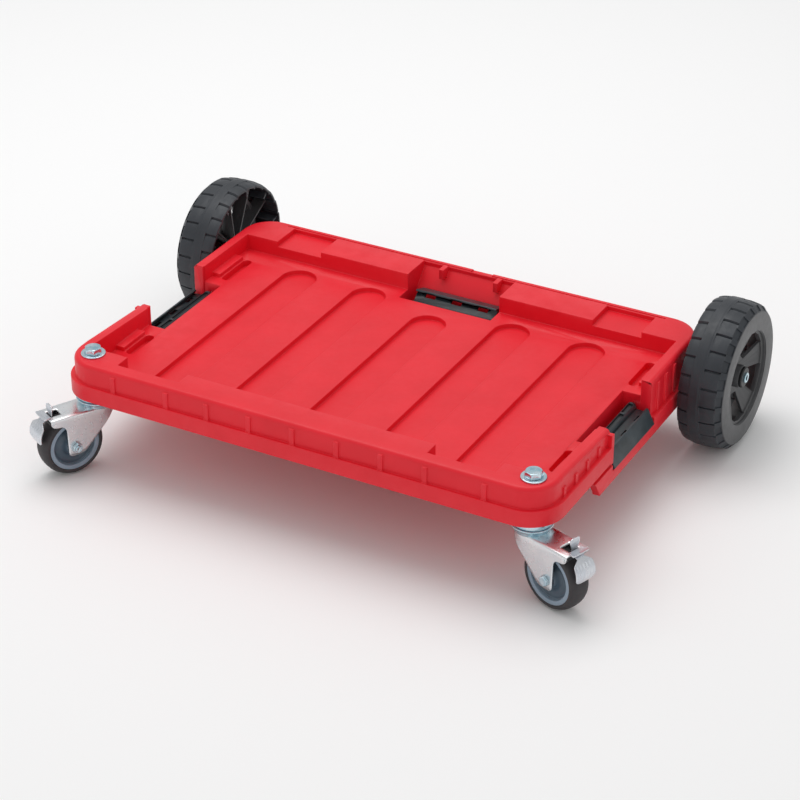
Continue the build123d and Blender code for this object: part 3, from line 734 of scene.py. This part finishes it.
CASTER_RING = Moulding(
    "caster_rim", (0.27, 0.34, 0.42), (0.23, 0.30, 0.37), (0.42, 0.50, 0.57), 0.34, tone_scale=60.0,
)
# The dish is a darker copy of the ring's blue-grey: painted shade of the recessed centre.
CASTER_DISH_SHADE = Moulding(
    "caster_dish", (0.085, 0.125, 0.165), (0.068, 0.100, 0.135), (0.20, 0.26, 0.32), 0.32, tone_scale=60.0,
)
ZINC = Plating("zinc", (0.80, 0.82, 0.83), (0.74, 0.77, 0.80), 0.24)
BOLT_ZINC = Plating("bolt_zinc", (0.66, 0.78, 0.84), (0.36, 0.58, 0.68), 0.14, cloud_scale=120.0)
BRAKE_STEEL = Plating("brake_steel", (0.70, 0.72, 0.75), (0.60, 0.63, 0.68), 0.24, mark_depth=0.5)
BEARING_STEEL = Plating("bearing_steel", (0.82, 0.82, 0.82), (0.75, 0.76, 0.78), 0.10)


class Finishes:
    """Every finish of the dolly, made once and handed to the pieces."""

    def __init__(self) -> None:
        """Build every material."""
        effects = Effects()
        every = (
            DECK_RED, LATCH_BLACK, WHEEL_TYRE, WHEEL_RIM, BUSH_BLACK, CASTER_TYRE, CASTER_RING,
            CASTER_DISH_SHADE, ZINC, BOLT_ZINC, BRAKE_STEEL, BEARING_STEEL,
        )
        self.materials = {finish.name: finish.build(effects) for finish in every}

    def dress(self, piece: bpy.types.Object, finish: Moulding | Plating) -> None:
        """Give a piece its only material.

        Args:
            piece: new piece or node of the model.
            finish: the finish.
        """
        piece.data.materials.clear()
        piece.data.materials.append(self.materials[finish.name])


def settle(
    piece: bpy.types.Object, finishes: Finishes, finish: Moulding | Plating, body: str,
    nodes: Sequence[str] = (),
) -> None:
    """Dress a finished piece, put it on its body and let it stand for its nodes.

    Args:
        piece: the piece.
        finishes: the made finishes.
        finish: its finish.
        body: body it rides on.
        nodes: nodes it stands for.
    """
    finishes.dress(piece, finish)
    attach(piece, body)
    if nodes:
        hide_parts(*nodes)
    log.info("%s on %s, %d faces", piece.name, body, len(piece.data.polygons))


# ---------------------------------------------------------------- sub-assemblies


@dataclass
class Deck:
    """The one-piece moulded deck with its bolts and washers."""

    edge: float = 0.75 * MM
    bolt_flats: float = 17.0 * MM
    bolt_head: float = 6.5 * MM
    washer_r: float = 13.5 * MM
    washer_t: float = 2.0 * MM

    def build(self, finishes: Finishes) -> None:
        """Build the shell, the corner bolts and their washers.

        Args:
            finishes: the made finishes.
        """
        shell = merged_copy("deck", "deck_shell")
        soften(shell, self.edge, 3)
        settle(shell, finishes, DECK_RED, "platform", ["deck"])
        self.build_bolts(finishes)

    def corner_axes(self, side: Side) -> Axes:
        """Upright frame on the washer of one front corner.

        Args:
            side: which corner.

        Returns:
            Frame whose first direction points up.
        """
        at, _ = joint_at(f"{side.label}_caster_swivel")
        low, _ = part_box("caster_bolt_washers")
        turn = radians(12 if side is Side.RIGHT else 40)
        return Axes(
            np.array([at[0], at[1], low[2]]), np.array([0, 0, 1.0]),
            np.array([cos(turn), sin(turn), 0]), np.array([-sin(turn), cos(turn), 0]),
        )

    def build_bolts(self, finishes: Finishes) -> None:
        """Build both hexagon heads with their stems, and the washers under them.

        Args:
            finishes: the made finishes.
        """
        heads, washers = Sheet.empty(), Sheet.empty()
        low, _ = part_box("caster_bolts")
        for side in Side:
            axes = self.corner_axes(side)
            seat = axes.moved(self.washer_t)
            hex_ring(heads, seat, self.bolt_flats, self.bolt_head, 0.0)
            stem = low[2] - seat.origin[2]
            heads.add_ring(seat, rounded([
                (stem, 0.1 * MM, 0), (stem, 4.9 * MM, 0.8 * MM),
                (0.2 * MM, 4.9 * MM, 0), (0.2 * MM, 0.1 * MM, 0),
            ]), 32)
            t, r = self.washer_t, self.washer_r
            washers.add_ring(axes, rounded([
                (0, 5.0 * MM, 0), (0, r, 0.2 * MM), (t, r, 0.9 * MM), (t, 5.0 * MM, 0),
            ]), 72)
        bolts = heads.make("corner_bolts")
        soften(bolts, 0.25 * MM, 2, 24)
        settle(bolts, finishes, BOLT_ZINC, "platform", ["caster_bolts"])
        settle(washers.make("corner_washers"), finishes, BOLT_ZINC, "platform", ["caster_bolt_washers"])


@dataclass
class Latches:
    """The three swinging latches and their pins."""

    edge: float = 0.45 * MM

    def build(self, finishes: Finishes) -> None:
        """Round the moulded latches and dress the pins.

        Args:
            finishes: the made finishes.
        """
        for name in ("left", "right", "rear"):
            flap = merged_copy(f"{name}_latch", f"{name}_latch_flap")
            soften(flap, self.edge, 2)
            settle(flap, finishes, LATCH_BLACK, f"{name}_latch", [f"{name}_latch"])
            finishes.dress(frame["nodes"][f"{name}_latch_pin"], ZINC)


@dataclass
class RearWheel:
    """One large rear wheel: treaded tyre, dished spokes and hub fittings."""

    side: Side
    blocks: int = 25
    sipe_depth: float = 1.3 * MM
    ramp_depth: float = 1.0 * MM
    notch_depth: float = 1.6 * MM
    inner_row: float = 13.0 * MM
    outer_row: tuple[float, float] = (27.0 * MM, 44.5 * MM)
    centre_line: float = 24.0 * MM
    rib_t: float = 2.5 * MM
    rib_count: int = 10
    rib_reach: float = 9.5 * MM
    rib_span: tuple[float, float] = (3.0 * MM, 37.0 * MM)
    tread_t: float = 6.0 * MM
    ring_t: float = 0.8 * MM
    ring_drops: tuple[float, float] = (30.6 * MM, 9.2 * MM)
    crisp_angle: float = 28.0

    def axes(self) -> Axes:
        """Frame on the axle at the wheel's inner face, its first direction outward.

        Returns:
            The frame.
        """
        at, _ = joint_at(f"{self.side.label}_wheel_spin")
        low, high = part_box(f"{self.side.label}_wheel_tyre")
        inner = low[0] if self.side is Side.RIGHT else high[0]
        return Axes(
            np.array([inner, at[1], at[2]]), np.array([float(self.side.value), 0, 0]),
            np.array([0, 1.0, 0]), np.array([0, 0, 1.0]),
        )

    def section(self) -> tuple[np.ndarray, np.ndarray]:
        """Closed outline of the tyre.

        Returns:
            Distances out from the inner face, and radii.
        """
        low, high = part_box(f"{self.side.label}_wheel_tyre")
        width = high[0] - low[0]
        radius = (high[2] - low[2]) / 2
        bands = (
            np.linspace(0.4, 12.4, 7),
            np.array([12.9, 13.4, 14.0, 18, 22.2, 22.8, 23.4, 24.6, 25.2, 25.8, 26.6]),
            np.linspace(27.2, 44.2, 9),
            np.array([44.9, 45.6, 46.8, 48.4, 49.6, 50.3]),
        )
        across = np.concatenate(bands) * MM
        crown = np.interp(
            across, np.array([0, 5, 14, 34, 44, 51]) * MM,
            radius - np.array([3.6, 1.5, 0.25, 0.25, 1.7, 8.6]) * MM,
        )
        ridge = np.exp(-(((across - self.centre_line) / (0.7 * MM)) ** 2)) * 0.25 * MM
        step = np.where(across > self.centre_line, 0.35 * MM, 0.0)
        inner = radius - self.tread_t
        wall = np.array([
            (width - 0.5 * MM, radius - 9.4 * MM), (width - 0.5 * MM, radius - 12 * MM),
            (width - 0.5 * MM, radius - 15.6 * MM),
            (width - 0.7 * MM, radius - 16.4 * MM), (width - 3.7 * MM, radius - 19.7 * MM),
            (width - 4 * MM, radius - 20 * MM), (width - 8 * MM, radius - 20 * MM),
            (width - 8 * MM, inner - 5 * MM), (width - 14 * MM, inner), (0.5 * MM, inner),
            (0, inner + 0.5 * MM), (0, radius - 4.3 * MM),
        ])
        return np.concatenate([across, wall[:, 0]]), np.concatenate([crown + ridge - step, wall[:, 1]])

    def relief(self, across: np.ndarray, turn: np.ndarray) -> np.ndarray:
        """Depth cut into the tread.

        Within each block a slit opens the surface, then a ramp rises from its foot; the outer row
        is half a block on from the inner one, and the shoulder has a notch in each block.

        Args:
            across: distance out from the inner face.
            turn: angle round the wheel, in blocks.

        Returns:
            Depths, in metres.
        """
        def row(phase: np.ndarray, weight: np.ndarray) -> np.ndarray:
            """Slit and ramp of one row."""
            slit = np.where(phase < 0.05, self.sipe_depth, 0.0)
            return weight * (slit + self.ramp_depth * (1 - phase) ** 2)

        inside = (across < self.inner_row).astype(float)
        outside = ((across > self.outer_row[0]) & (across < self.outer_row[1])).astype(float)
        shoulder = ((across > self.outer_row[1]) & (across < 50.0 * MM)).astype(float)
        phase = (turn + 0.5) % 1.0
        notch = np.where((phase > 0.30) & (phase < 0.92), self.notch_depth, 0.0)
        return row(turn % 1.0, inside) + row(phase, outside) + shoulder * notch

    def build_tyre(self, finishes: Finishes) -> None:
        """Carry the section round the axle with the tread cut in, and add the ribs inside it.

        Args:
            finishes: the made finishes.
        """
        axes = self.axes()
        across, radius = self.section()
        in_block = np.array([
            0, 0.012, 0.046, 0.058, 0.18, 0.30, 0.41, 0.425,
            0.50, 0.512, 0.546, 0.558, 0.68, 0.785, 0.80, 0.90,
        ])
        turn = (np.arange(self.blocks)[:, None] + in_block[None, :]).reshape(-1, 1)
        angle = 2 * pi * turn / self.blocks
        depth = self.relief(across[None, :], turn + 1e-6)
        carved = radius[None, :] - depth
        points = axes.place(across[None, :] + 0 * angle, carved * np.cos(angle), carved * np.sin(angle))
        points = np.concatenate([points, points[:, :1]], axis=1)
        sheet = Sheet.empty()
        sheet.add_grid(points, wrap=True)
        inner = radius.max() - self.tread_t
        for index in range(self.rib_count):
            spin = radians(45) + 2 * pi * index / self.rib_count
            out = axes.second * cos(spin) + axes.third * sin(spin)
            along = np.cross(axes.first, out)
            rib = Axes(axes.origin, axes.first, out, along)
            sheet.add_bar(
                rib, (self.rib_span[0], inner - self.rib_reach, -self.rib_t / 2),
                (self.rib_span[1], inner + MM, self.rib_t / 2),
            )
        tyre = sheet.make(f"{self.side.label}_tread")
        tyre.data.set_sharp_from_angle(angle=radians(self.crisp_angle))
        label = self.side.label
        settle(tyre, finishes, WHEEL_TYRE, f"{label}_wheel", [f"{label}_wheel_tyre"])

    def build_side_ring(self, finishes: Finishes) -> None:
        """Lay the smooth flat ring over the joint of tyre and disc, carried round the axle.

        Args:
            finishes: the made finishes.
        """
        low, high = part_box(f"{self.side.label}_wheel_tyre")
        face, radius = high[0] - low[0], (high[2] - low[2]) / 2
        back = face - self.ring_t
        bore, rim = (radius - drop for drop in self.ring_drops)
        ring = Sheet.empty()
        ring.add_ring(self.axes(), rounded([
            (back, bore, 0), (face, bore, 0.5 * MM), (face, rim, 0.5 * MM), (back, rim, 0),
        ], 3), 144)
        label = self.side.label
        settle(ring.make(f"{label}_side_ring"), finishes, WHEEL_RIM, f"{label}_wheel")

    def build(self, finishes: Finishes) -> None:
        """Build the tyre and the spoked disc and dress the hub fittings.

        Args:
            finishes: the made finishes.
        """
        label = self.side.label
        self.build_tyre(finishes)
        self.build_side_ring(finishes)
        disc = merged_copy(f"{label}_wheel_rim", f"{label}_spoked_disc")
        soften(disc, 0.5 * MM, 2)
        settle(disc, finishes, WHEEL_RIM, f"{label}_wheel", [f"{label}_wheel_rim"])
        finishes.dress(frame["nodes"][f"{label}_wheel_bushes"], BUSH_BLACK)
        finishes.dress(frame["nodes"][f"{label}_axle_retainer"], BUSH_BLACK)
        finishes.dress(frame["nodes"][f"{label}_axle_spacer"], ZINC)


@dataclass
class Caster:
    """One swivel caster with its fork, wheel and step brake."""

    side: Side
    sheet_t: float = 2.0 * MM
    brake_t: float = 1.4 * MM
    half_w: float = 16.4 * MM
    bend_r: float = 3.0 * MM
    rear_r: float = 20.0 * MM
    race_r: float = 22.0 * MM
    tyre_r: float = 37.0 * MM
    tyre_w: float = 25.0 * MM
    ring_out: float = 29.6 * MM
    ring_in: float = 24.8 * MM
    pedal_half: float = 13.5 * MM
    neck_half: float = 5.5 * MM
    tab_half: float = 6.5 * MM
    ridges: int = 6
    plate_drop: float = 6.8 * MM
    window: tuple[float, float, float] = (46.5 * MM, 59.5 * MM, 5.5 * MM)
    hex_flats: float = 10.5 * MM

    def __post_init__(self) -> None:
        """Work out the caster's frames from its joints."""
        label = self.side.label
        foot, _ = joint_at(f"{label}_caster_swivel")
        hub, _ = joint_at(f"{label}_caster_spin")
        reach = np.array([hub[0] - foot[0], hub[1] - foot[1], 0.0])
        self.trail = float(np.linalg.norm(reach))
        ahead = reach / self.trail
        up = np.array([0, 0, 1.0])
        across = np.cross(ahead, up)
        ground = np.array([foot[0], foot[1], 0.0])
        self.upright = Axes(ground, ahead, up, across)
        self.swivel = Axes(ground, up, ahead, np.cross(up, ahead))
        self.hub = Axes(ground + reach + up * hub[2], across, ahead, up)
        self.plate_z = float(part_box(f"{label}_caster_top_race")[0][2]) - self.plate_drop

    def lower_outline(self) -> np.ndarray:
        """Lower edge of the fork's cheek from the rear to the front tip, with rounded corners.

        Returns:
            Pairs of distance along the trail and height.
        """
        corners = [
            (-20.0, 82.0, 0), (-20.0, 72.0, 3), (-14, 69.0, 4), (26.0, 27.6, 5), (44.8, 26.6, 5.5),
            (45.6, 66.0, 9), (59.0, 67.6, 3), (63.0, 70.5, 2.0), (63.0, 82.0, 0),
        ]
        outline = rounded([(x * MM, z * MM, r * MM) for x, z, r in corners], 6)
        inside = outline[:, 1] < self.plate_z - self.bend_r
        outline = outline[inside]
        dense = [outline[:1]]
        for start, end in zip(outline[:-1], outline[1:]):
            count = max(1, int(np.linalg.norm(end - start) / (2.2 * MM)))
            share = np.linspace(0, 1, count + 1)[1:, None]
            dense.append(start + share * (end - start))
        return np.vstack(dense)

    def plate_half(self, along: np.ndarray) -> np.ndarray:
        """Half width of the fork at a distance along the trail: a round back, then straight."""
        round_part = np.sqrt(np.clip(1 - (np.minimum(along, 0) / self.rear_r) ** 2, 0, 1))
        return self.half_w * round_part

    def build_fork(self, finishes: Finishes) -> None:
        """Build the pressed fork.

        Each point of the cheek's lower edge is ruled up to the plate, goes round a bend of radius
        bend_r, crosses the plate and comes down the other cheek. A window stays open in the plate.

        Args:
            finishes: the made finishes.
        """
        lower = self.lower_outline()
        length = np.concatenate([[0], np.cumsum(np.linalg.norm(np.diff(lower, axis=0), axis=1))])
        share = length / length[-1]
        top_along = np.interp(
            share, [0, 0.10, 0.44, 0.57, 0.84, 0.94, 1.0], np.array([-19.98, -14, 8, 22, 45.5, 58, 63]) * MM
        )
        window = self.window  # its two ends along the trail, and its half width
        for edge in window[:2]:
            top_along[np.argmin(np.abs(top_along - edge))] = edge
        rows = []
        top_half = self.plate_half(top_along)
        bottom_half = self.plate_half(lower[:, 0])
        bend = np.minimum(self.bend_r, top_half)
        falls = (0.0, 0.12, 0.3, 0.5, 0.7, 0.88, 1.0)  # shares of the way up each ruling
        for sign in (-1, 1):
            column = []
            for fall in falls:
                along = lower[:, 0] + fall * (top_along - lower[:, 0])
                height = lower[:, 1] + fall * (self.plate_z - bend - lower[:, 1])
                half = bottom_half + fall * (top_half - bottom_half)
                column.append((along, height, sign * half))
            for angle in (radians(30), radians(60), radians(90)):
                column.append((
                    top_along, self.plate_z - bend + bend * sin(angle),
                    sign * (top_half - bend + bend * cos(angle)),
                ))
            rows.append(column if sign < 0 else column[::-1])
        middle = []
        for share_across in (-0.6, -0.464, -0.23, 0.0, 0.23, 0.464, 0.6):
            half = np.minimum(np.abs(share_across) * 14 * MM, (top_half - bend) * abs(share_across) * 1.6)
            middle.append((top_along, self.plate_z + 0 * top_along, np.sign(share_across) * half))
        every = rows[0] + middle + rows[1]
        along = np.stack([c[0] for c in every], axis=1)
        height = np.stack([np.broadcast_to(c[1], lower[:, 0].shape) for c in every], axis=1)
        across = np.stack([c[2] for c in every], axis=1)
        mid_along = (along[1:, 1:] + along[:-1, :-1]) / 2
        mid_across = (across[1:, 1:] + across[:-1, :-1]) / 2
        on_plate = (height[1:, 1:] + height[:-1, :-1]) / 2 > self.plate_z - 0.1 * MM
        in_window = (mid_along > window[0]) & (mid_along < window[1]) & (np.abs(mid_across) < window[2])
        drop = on_plate & in_window
        sheet = Sheet.empty()
        sheet.add_grid(self.upright.place(along, height, across), drop=drop)
        fork = sheet.make(f"{self.side.label}_fork", 0.05 * MM)
        self.turn_outward(fork)
        thicken(fork, self.sheet_t)
        label = self.side.label
        settle(fork, finishes, ZINC, f"{label}_caster", [f"{label}_caster_fork"])
        crown = Sheet.empty()
        low = self.plate_z
        high = float(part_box(f"{label}_caster_top_race")[0][2]) - 0.2 * MM
        crown.add_ring(self.swivel, rounded([
            (low - 1.5 * MM, 6 * MM, 0), (low - 1.5 * MM, 19.0 * MM, 0),
            (low + 0.3 * MM, 19.6 * MM, 1.2 * MM), (low + 2.6 * MM, 20.4 * MM, 1.5 * MM),
            (high - 1.2 * MM, 22.6 * MM, 1.2 * MM), (high, 21.8 * MM, 0.6 * MM), (high, 6 * MM, 0),
        ]), 72)
        settle(crown.make(f"{label}_fork_crown"), finishes, BOLT_ZINC, f"{label}_caster")

    def turn_outward(self, piece: bpy.types.Object) -> None:
        """Make sure that the faces of an open sheet point away from the wheel.

        Args:
            piece: sheet to check by its highest face.
        """
        mesh = piece.data
        top = max(mesh.polygons, key=lambda face: face.center.z)
        if top.normal.z < 0:
            mesh.flip_normals()

    def build_race(self, finishes: Finishes) -> None:
        """Build the upper race, a rounded pressed ring over the balls.

        Args:
            finishes: the made finishes.
        """
        label = self.side.label
        low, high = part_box(f"{label}_caster_top_race")
        race = Sheet.empty()
        race.add_ring(self.swivel, rounded([
            (high[2], 5.2 * MM, 0), (high[2], self.race_r - 0.6 * MM, 1.6 * MM),
            (low[2] + 3.0 * MM, self.race_r, 1.6 * MM), (low[2], self.race_r - 1.0 * MM, 1.0 * MM),
            (low[2], self.race_r - 2.6 * MM, 0), (high[2] - 2.4 * MM, self.race_r - 2.6 * MM, 0),
            (high[2] - 2.4 * MM, 5.2 * MM, 0),
        ]), 72)
        settle(race.make(f"{label}_swivel_race"), finishes, BOLT_ZINC, "platform",
               [f"{label}_caster_top_race"])

    def build_wheel(self, finishes: Finishes) -> None:
        """Build the tyre, the pale ring and the dished centre darkened as painted shade, all carried round
        the axle.

        Args:
            finishes: the made finishes.
        """
        label = self.side.label
        w, r = self.tyre_w / 2, self.tyre_r
        body = f"{label}_caster_wheel"
        tyre = Sheet.empty()
        tyre.add_ring(self.hub, rounded([
            (-w, self.ring_out, 0), (w, self.ring_out, 0), (w, r - 3.0 * MM, 4.5 * MM),
            (0.45 * w, r, 5 * MM), (-0.45 * w, r, 5 * MM), (-w, r - 3.0 * MM, 4.5 * MM),
        ], 8), 96)
        settle(tyre.make(f"{label}_caster_tread"), finishes, CASTER_TYRE, body, [f"{label}_caster_tyre"])
        ring, dish = Sheet.empty(), Sheet.empty()
        face = w - 0.4 * MM
        ring.add_ring(self.hub, rounded([
            (-face, self.ring_in, 0.8 * MM), (-face, self.ring_out, 0.4 * MM),
            (face, self.ring_out, 0.4 * MM), (face, self.ring_in, 0.8 * MM),
            (face - 3 * MM, self.ring_in - 0.6 * MM, 0),
            (3 * MM - face, self.ring_in - 0.6 * MM, 0),
        ]), 96)
        hub = w + 0.7 * MM
        dish.add_ring(self.hub, rounded([
            (face - 2.2 * MM, self.ring_in, 0), (5.0 * MM, 21 * MM, 5 * MM), (5.5 * MM, 13 * MM, 4 * MM),
            (hub, 10 * MM, 1.0 * MM), (hub, 6.1 * MM, 0), (-hub, 6.1 * MM, 0), (-hub, 10 * MM, 1.0 * MM),
            (-5.5 * MM, 13 * MM, 4 * MM), (-5.0 * MM, 21 * MM, 5 * MM), (2.2 * MM - face, self.ring_in, 0),
        ], 8), 96)
        settle(ring.make(f"{label}_rim_ring"), finishes, CASTER_RING, body, [f"{label}_caster_rim"])
        # The dish's darker colour is painted shade of the recessed centre.
        settle(dish.make(f"{label}_rim_dish"), finishes, CASTER_DISH_SHADE, body)

    def build_axle(self, finishes: Finishes) -> None:
        """Build the wheel bolt with its hexagon head and its nut.

        Args:
            finishes: the made finishes.
        """
        label = self.side.label
        outer = self.half_w + 0.05 * MM
        bolt, nut = Sheet.empty(), Sheet.empty()
        head = self.hub.moved(outer)
        hex_ring(bolt, head, self.hex_flats, 3.6 * MM, 0.0, 36)
        bolt.add_ring(self.hub, rounded([
            (-outer - 5.4 * MM, 0.1 * MM, 0), (-outer - 5.4 * MM, 3.5 * MM, 0.8 * MM), (outer, 3.5 * MM, 0),
            (outer, 0.1 * MM, 0),
        ]), 32)
        far = self.hub.origin - self.hub.first * outer
        back = Axes(far, -self.hub.first, self.hub.second, -self.hub.third)
        hex_ring(nut, back, self.hex_flats, 4.4 * MM, 3.6 * MM, 36)
        settle(bolt.make(f"{label}_wheel_bolt"), finishes, BOLT_ZINC, f"{label}_caster",
               [f"{label}_caster_axle"])
        settle(nut.make(f"{label}_wheel_nut"), finishes, BOLT_ZINC, f"{label}_caster",
               [f"{label}_caster_axle_nut"])

    def add_strip(
        self, sheet: Sheet, path: Sequence[tuple[float, float]], half: Sequence[float],
        ridge: tuple[float, float, float], centre: float = 0.0,
    ) -> None:
        """Add a bent strip of sheet metal with pressed ridges along it.

        A smooth curve runs through the path; across it the strip reaches the half width worked out
        from the stations, and its surface is raised by ridge depth * cos(2 pi ridges * share).

        Args:
            sheet: piece to add to.
            path: points as distance along the trail and height, in millimetres.
            half: half width at each point, in millimetres.
            ridge: depth in millimetres, and the shares of the path where the ridges start and end.
            centre: place of the strip's middle across the caster, in millimetres.
        """
        stations = np.array(path, float) * MM
        knots = np.linspace(0, 1, len(stations))
        t = np.linspace(0, 1, 41)
        curve = np.stack([smooth_through(knots, stations[:, k], t) for k in (0, 1)], axis=1)
        width = np.interp(t, knots, np.array(half, float) * MM)
        end = np.clip((1 - t) / 0.10, 0, 1)
        width = width * np.sqrt(1 - (1 - end) ** 2 * 0.8)
        tangent = np.gradient(curve, axis=0)
        tangent /= np.linalg.norm(tangent, axis=1)[:, None]
        normal = np.stack([-tangent[:, 1], tangent[:, 0]], axis=1)
        share = np.linspace(-1, 1, 49)
        zone = np.clip((t - ridge[1]) / 0.05, 0, 1) * np.clip((ridge[2] - t) / 0.05, 0, 1)
        inside = np.clip((0.86 - np.abs(share)) / 0.06, 0, 1)
        wave = ridge[0] * MM * np.cos(2 * pi * self.ridges * share / 2) * inside
        raised = zone[:, None] * wave[None, :]
        along = curve[:, :1] + normal[:, :1] * raised
        height = curve[:, 1:] + normal[:, 1:] * raised
        across = width[:, None] * share[None, :] + centre * MM
        sheet.add_grid(self.upright.place(along, height, across))

    def build_brake(self, finishes: Finishes) -> None:
        """Build the step pedal, the flat tongue and the release tab from bent strips.

        Args:
            finishes: the made finishes.
        """
        label = self.side.label
        pin, _ = joint_at(f"{label}_brake_press")
        z = float(pin[2]) / MM
        neck, wide = self.neck_half / MM, self.pedal_half / MM
        pedal = Sheet.empty()
        self.add_strip(
            pedal,
            [
                (60, z + 2.4), (64.5, z + 3.0), (69, z + 1.0), (72.4, z - 3.6),
                (75.8, z - 10), (76.8, z - 17), (75.2, z - 24),
            ],
            [neck, neck, neck, wide - 0.6, wide, wide, wide - 1], (0.35, 0.48, 0.93),
        )
        self.add_strip(
            pedal, [(60.6, z + 7.0), (63.5, z + 7.0), (66.5, z + 7.1), (69.6, z + 7.4)],
            [9.5, 10.5, 11.5, 11.5], (0.0, 0, 1),
        )
        step = pedal.make(f"{label}_step_pedal", 0.02 * MM)
        thicken(step, self.brake_t)
        settle(step, finishes, BRAKE_STEEL, f"{label}_brake", [f"{label}_brake_pedal"])
        sleeve = Sheet.empty()
        barrel = Axes(pin, self.upright.third, self.upright.first, self.upright.second)
        reach = 13.6 * MM
        sleeve.add_ring(barrel, rounded([
            (-reach, 2.1 * MM, 0), (-reach, 2.9 * MM, 0.3 * MM),
            (reach, 2.9 * MM, 0.3 * MM), (reach, 2.1 * MM, 0),
        ]), 40)
        settle(sleeve.make(f"{label}_brake_barrel"), finishes, BUSH_BLACK, f"{label}_brake")
        tab = Sheet.empty()
        half = self.tab_half / MM
        self.add_strip(
            tab, [(58.4, z + 3.0), (58.5, z + 8.0), (58.8, z + 13.0), (58.4, z + 18.8)],
            [half * 0.62, half * 0.68, half, half], (0.35, 0.52, 0.90), -1.5,
        )
        lever = tab.make(f"{label}_release_tab", 0.02 * MM)
        thicken(lever, self.brake_t)
        settle(lever, finishes, BRAKE_STEEL, f"{label}_brake", [f"{label}_brake_release"])

    def build(self, finishes: Finishes) -> None:
        """Build the whole caster.

        Args:
            finishes: the made finishes.
        """
        label = self.side.label
        self.build_fork(finishes)
        self.build_race(finishes)
        self.build_wheel(finishes)
        self.build_axle(finishes)
        self.build_brake(finishes)
        finishes.dress(frame["nodes"][f"{label}_caster_balls"], BEARING_STEEL)
        for node in ("caster_lower_race", "caster_sleeve", "brake_pin"):
            finishes.dress(frame["nodes"][f"{label}_{node}"], ZINC)


def smooth_through(knots: np.ndarray, values: np.ndarray, at: np.ndarray) -> np.ndarray:
    """Smooth curve through values: cubic pieces whose slopes are those between the neighbours.

    Args:
        knots: rising positions of the values.
        values: values to pass through.
        at: positions to work out.

    Returns:
        Values of the curve.
    """
    slope = np.gradient(values, knots)
    index = np.clip(np.searchsorted(knots, at, side="right") - 1, 0, len(knots) - 2)
    span = knots[index + 1] - knots[index]
    t = (at - knots[index]) / span
    start, end = values[index], values[index + 1]
    rise, land = slope[index] * span, slope[index + 1] * span
    return (
        (2 * t**3 - 3 * t**2 + 1) * start + (t**3 - 2 * t**2 + t) * rise
        + (3 * t**2 - 2 * t**3) * end + (t**3 - t**2) * land
    )


# ---------------------------------------------------------------- studio


# Name, place, width and height, and power in watts.
LIGHTS = (
    ("overhead", (-0.6, 0.5, 2.6), (2.4, 2.0), 36.0),
    ("right_fill", (2.6, -0.7, 1.0), (1.6, 1.4), 2.0),
    ("front_fill", (-1.0, -2.6, 1.0), (1.6, 1.2), 3.0),
)


@dataclass
class Studio:
    """Pale floor, soft lights and the camera."""

    azimuth: float = 28.4
    elevation: float = 30.4
    distance: float = 2.719
    target: tuple[float, float, float] = (0.0142, -0.0061, 0.060)
    lens: float = 109.85
    sensor: float = 36.0
    floor_size: float = 12.0
    sky_strength: float = 0.62

    def build_camera(self) -> None:
        """Place the camera on its line of sight."""
        turn, rise = radians(self.azimuth), radians(self.elevation)
        away = Vector((sin(turn) * cos(rise), -cos(turn) * cos(rise), sin(rise)))
        data = bpy.data.cameras.new("camera")
        data.lens = self.lens
        data.sensor_width = self.sensor
        data.clip_end = 60.0
        camera = bpy.data.objects.new("camera", data)
        camera.location = Vector(self.target) + away * self.distance
        camera.rotation_euler = away.to_track_quat("Z", "Y").to_euler()
        bpy.context.scene.collection.objects.link(camera)
        bpy.context.scene.camera = camera

    def build_floor(self) -> None:
        """Lay a plain pale floor."""
        half = self.floor_size / 2
        mesh = bpy.data.meshes.new("floor")
        corners = [(-half, -half, 0), (half, -half, 0), (half, half, 0), (-half, half, 0)]
        mesh.from_pydata(corners, [], [(0, 1, 2, 3)])
        floor = bpy.data.objects.new("floor", mesh)
        bpy.context.scene.collection.objects.link(floor)
        material, _, shader = start_material("floor_paper")
        shader.inputs["Base Color"].default_value = (0.93, 0.93, 0.93, 1.0)
        shader.inputs["Roughness"].default_value = 0.95
        shader.inputs["Specular IOR Level"].default_value = 0.1
        mesh.materials.append(material)

    def add_light(
        self, name: str, place: tuple[float, float, float], size: tuple[float, float], power: float
    ) -> None:
        """Hang a soft rectangular light that looks at the deck.

        Args:
            name: name of the light.
            place: where it hangs.
            size: its width and height.
            power: its power in watts.
        """
        data = bpy.data.lights.new(name, "AREA")
        data.shape = "RECTANGLE"
        data.size, data.size_y = size
        data.energy = power
        light = bpy.data.objects.new(name, data)
        light.location = place
        light.rotation_euler = (Vector(place) - Vector(self.target)).to_track_quat("Z", "Y").to_euler()
        bpy.context.scene.collection.objects.link(light)

    def build(self) -> None:
        """Build the camera, the floor, the sky and the lights."""
        self.build_camera()
        self.build_floor()
        world = bpy.data.worlds.new("studio")
        world.use_nodes = True
        world.node_tree.nodes["Background"].inputs["Color"].default_value = (1.0, 1.0, 1.0, 1.0)
        world.node_tree.nodes["Background"].inputs["Strength"].default_value = self.sky_strength
        bpy.context.scene.world = world
        bpy.context.scene.view_settings.view_transform = "Standard"
        for name, place, size, power in LIGHTS:
            self.add_light(name, place, size, power)


def main() -> None:
    """Build every sub-assembly in order, then the studio."""
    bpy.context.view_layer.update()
    finishes = Finishes()
    Deck().build(finishes)
    Latches().build(finishes)
    for side in Side:
        RearWheel(side).build(finishes)
        Caster(side).build(finishes)
    finishes.dress(frame["nodes"]["rear_axle"], BOLT_ZINC)
    finishes.dress(frame["nodes"]["caster_lock_nuts"], BOLT_ZINC)
    Studio().build()


if __name__ == "__main__":
    main()
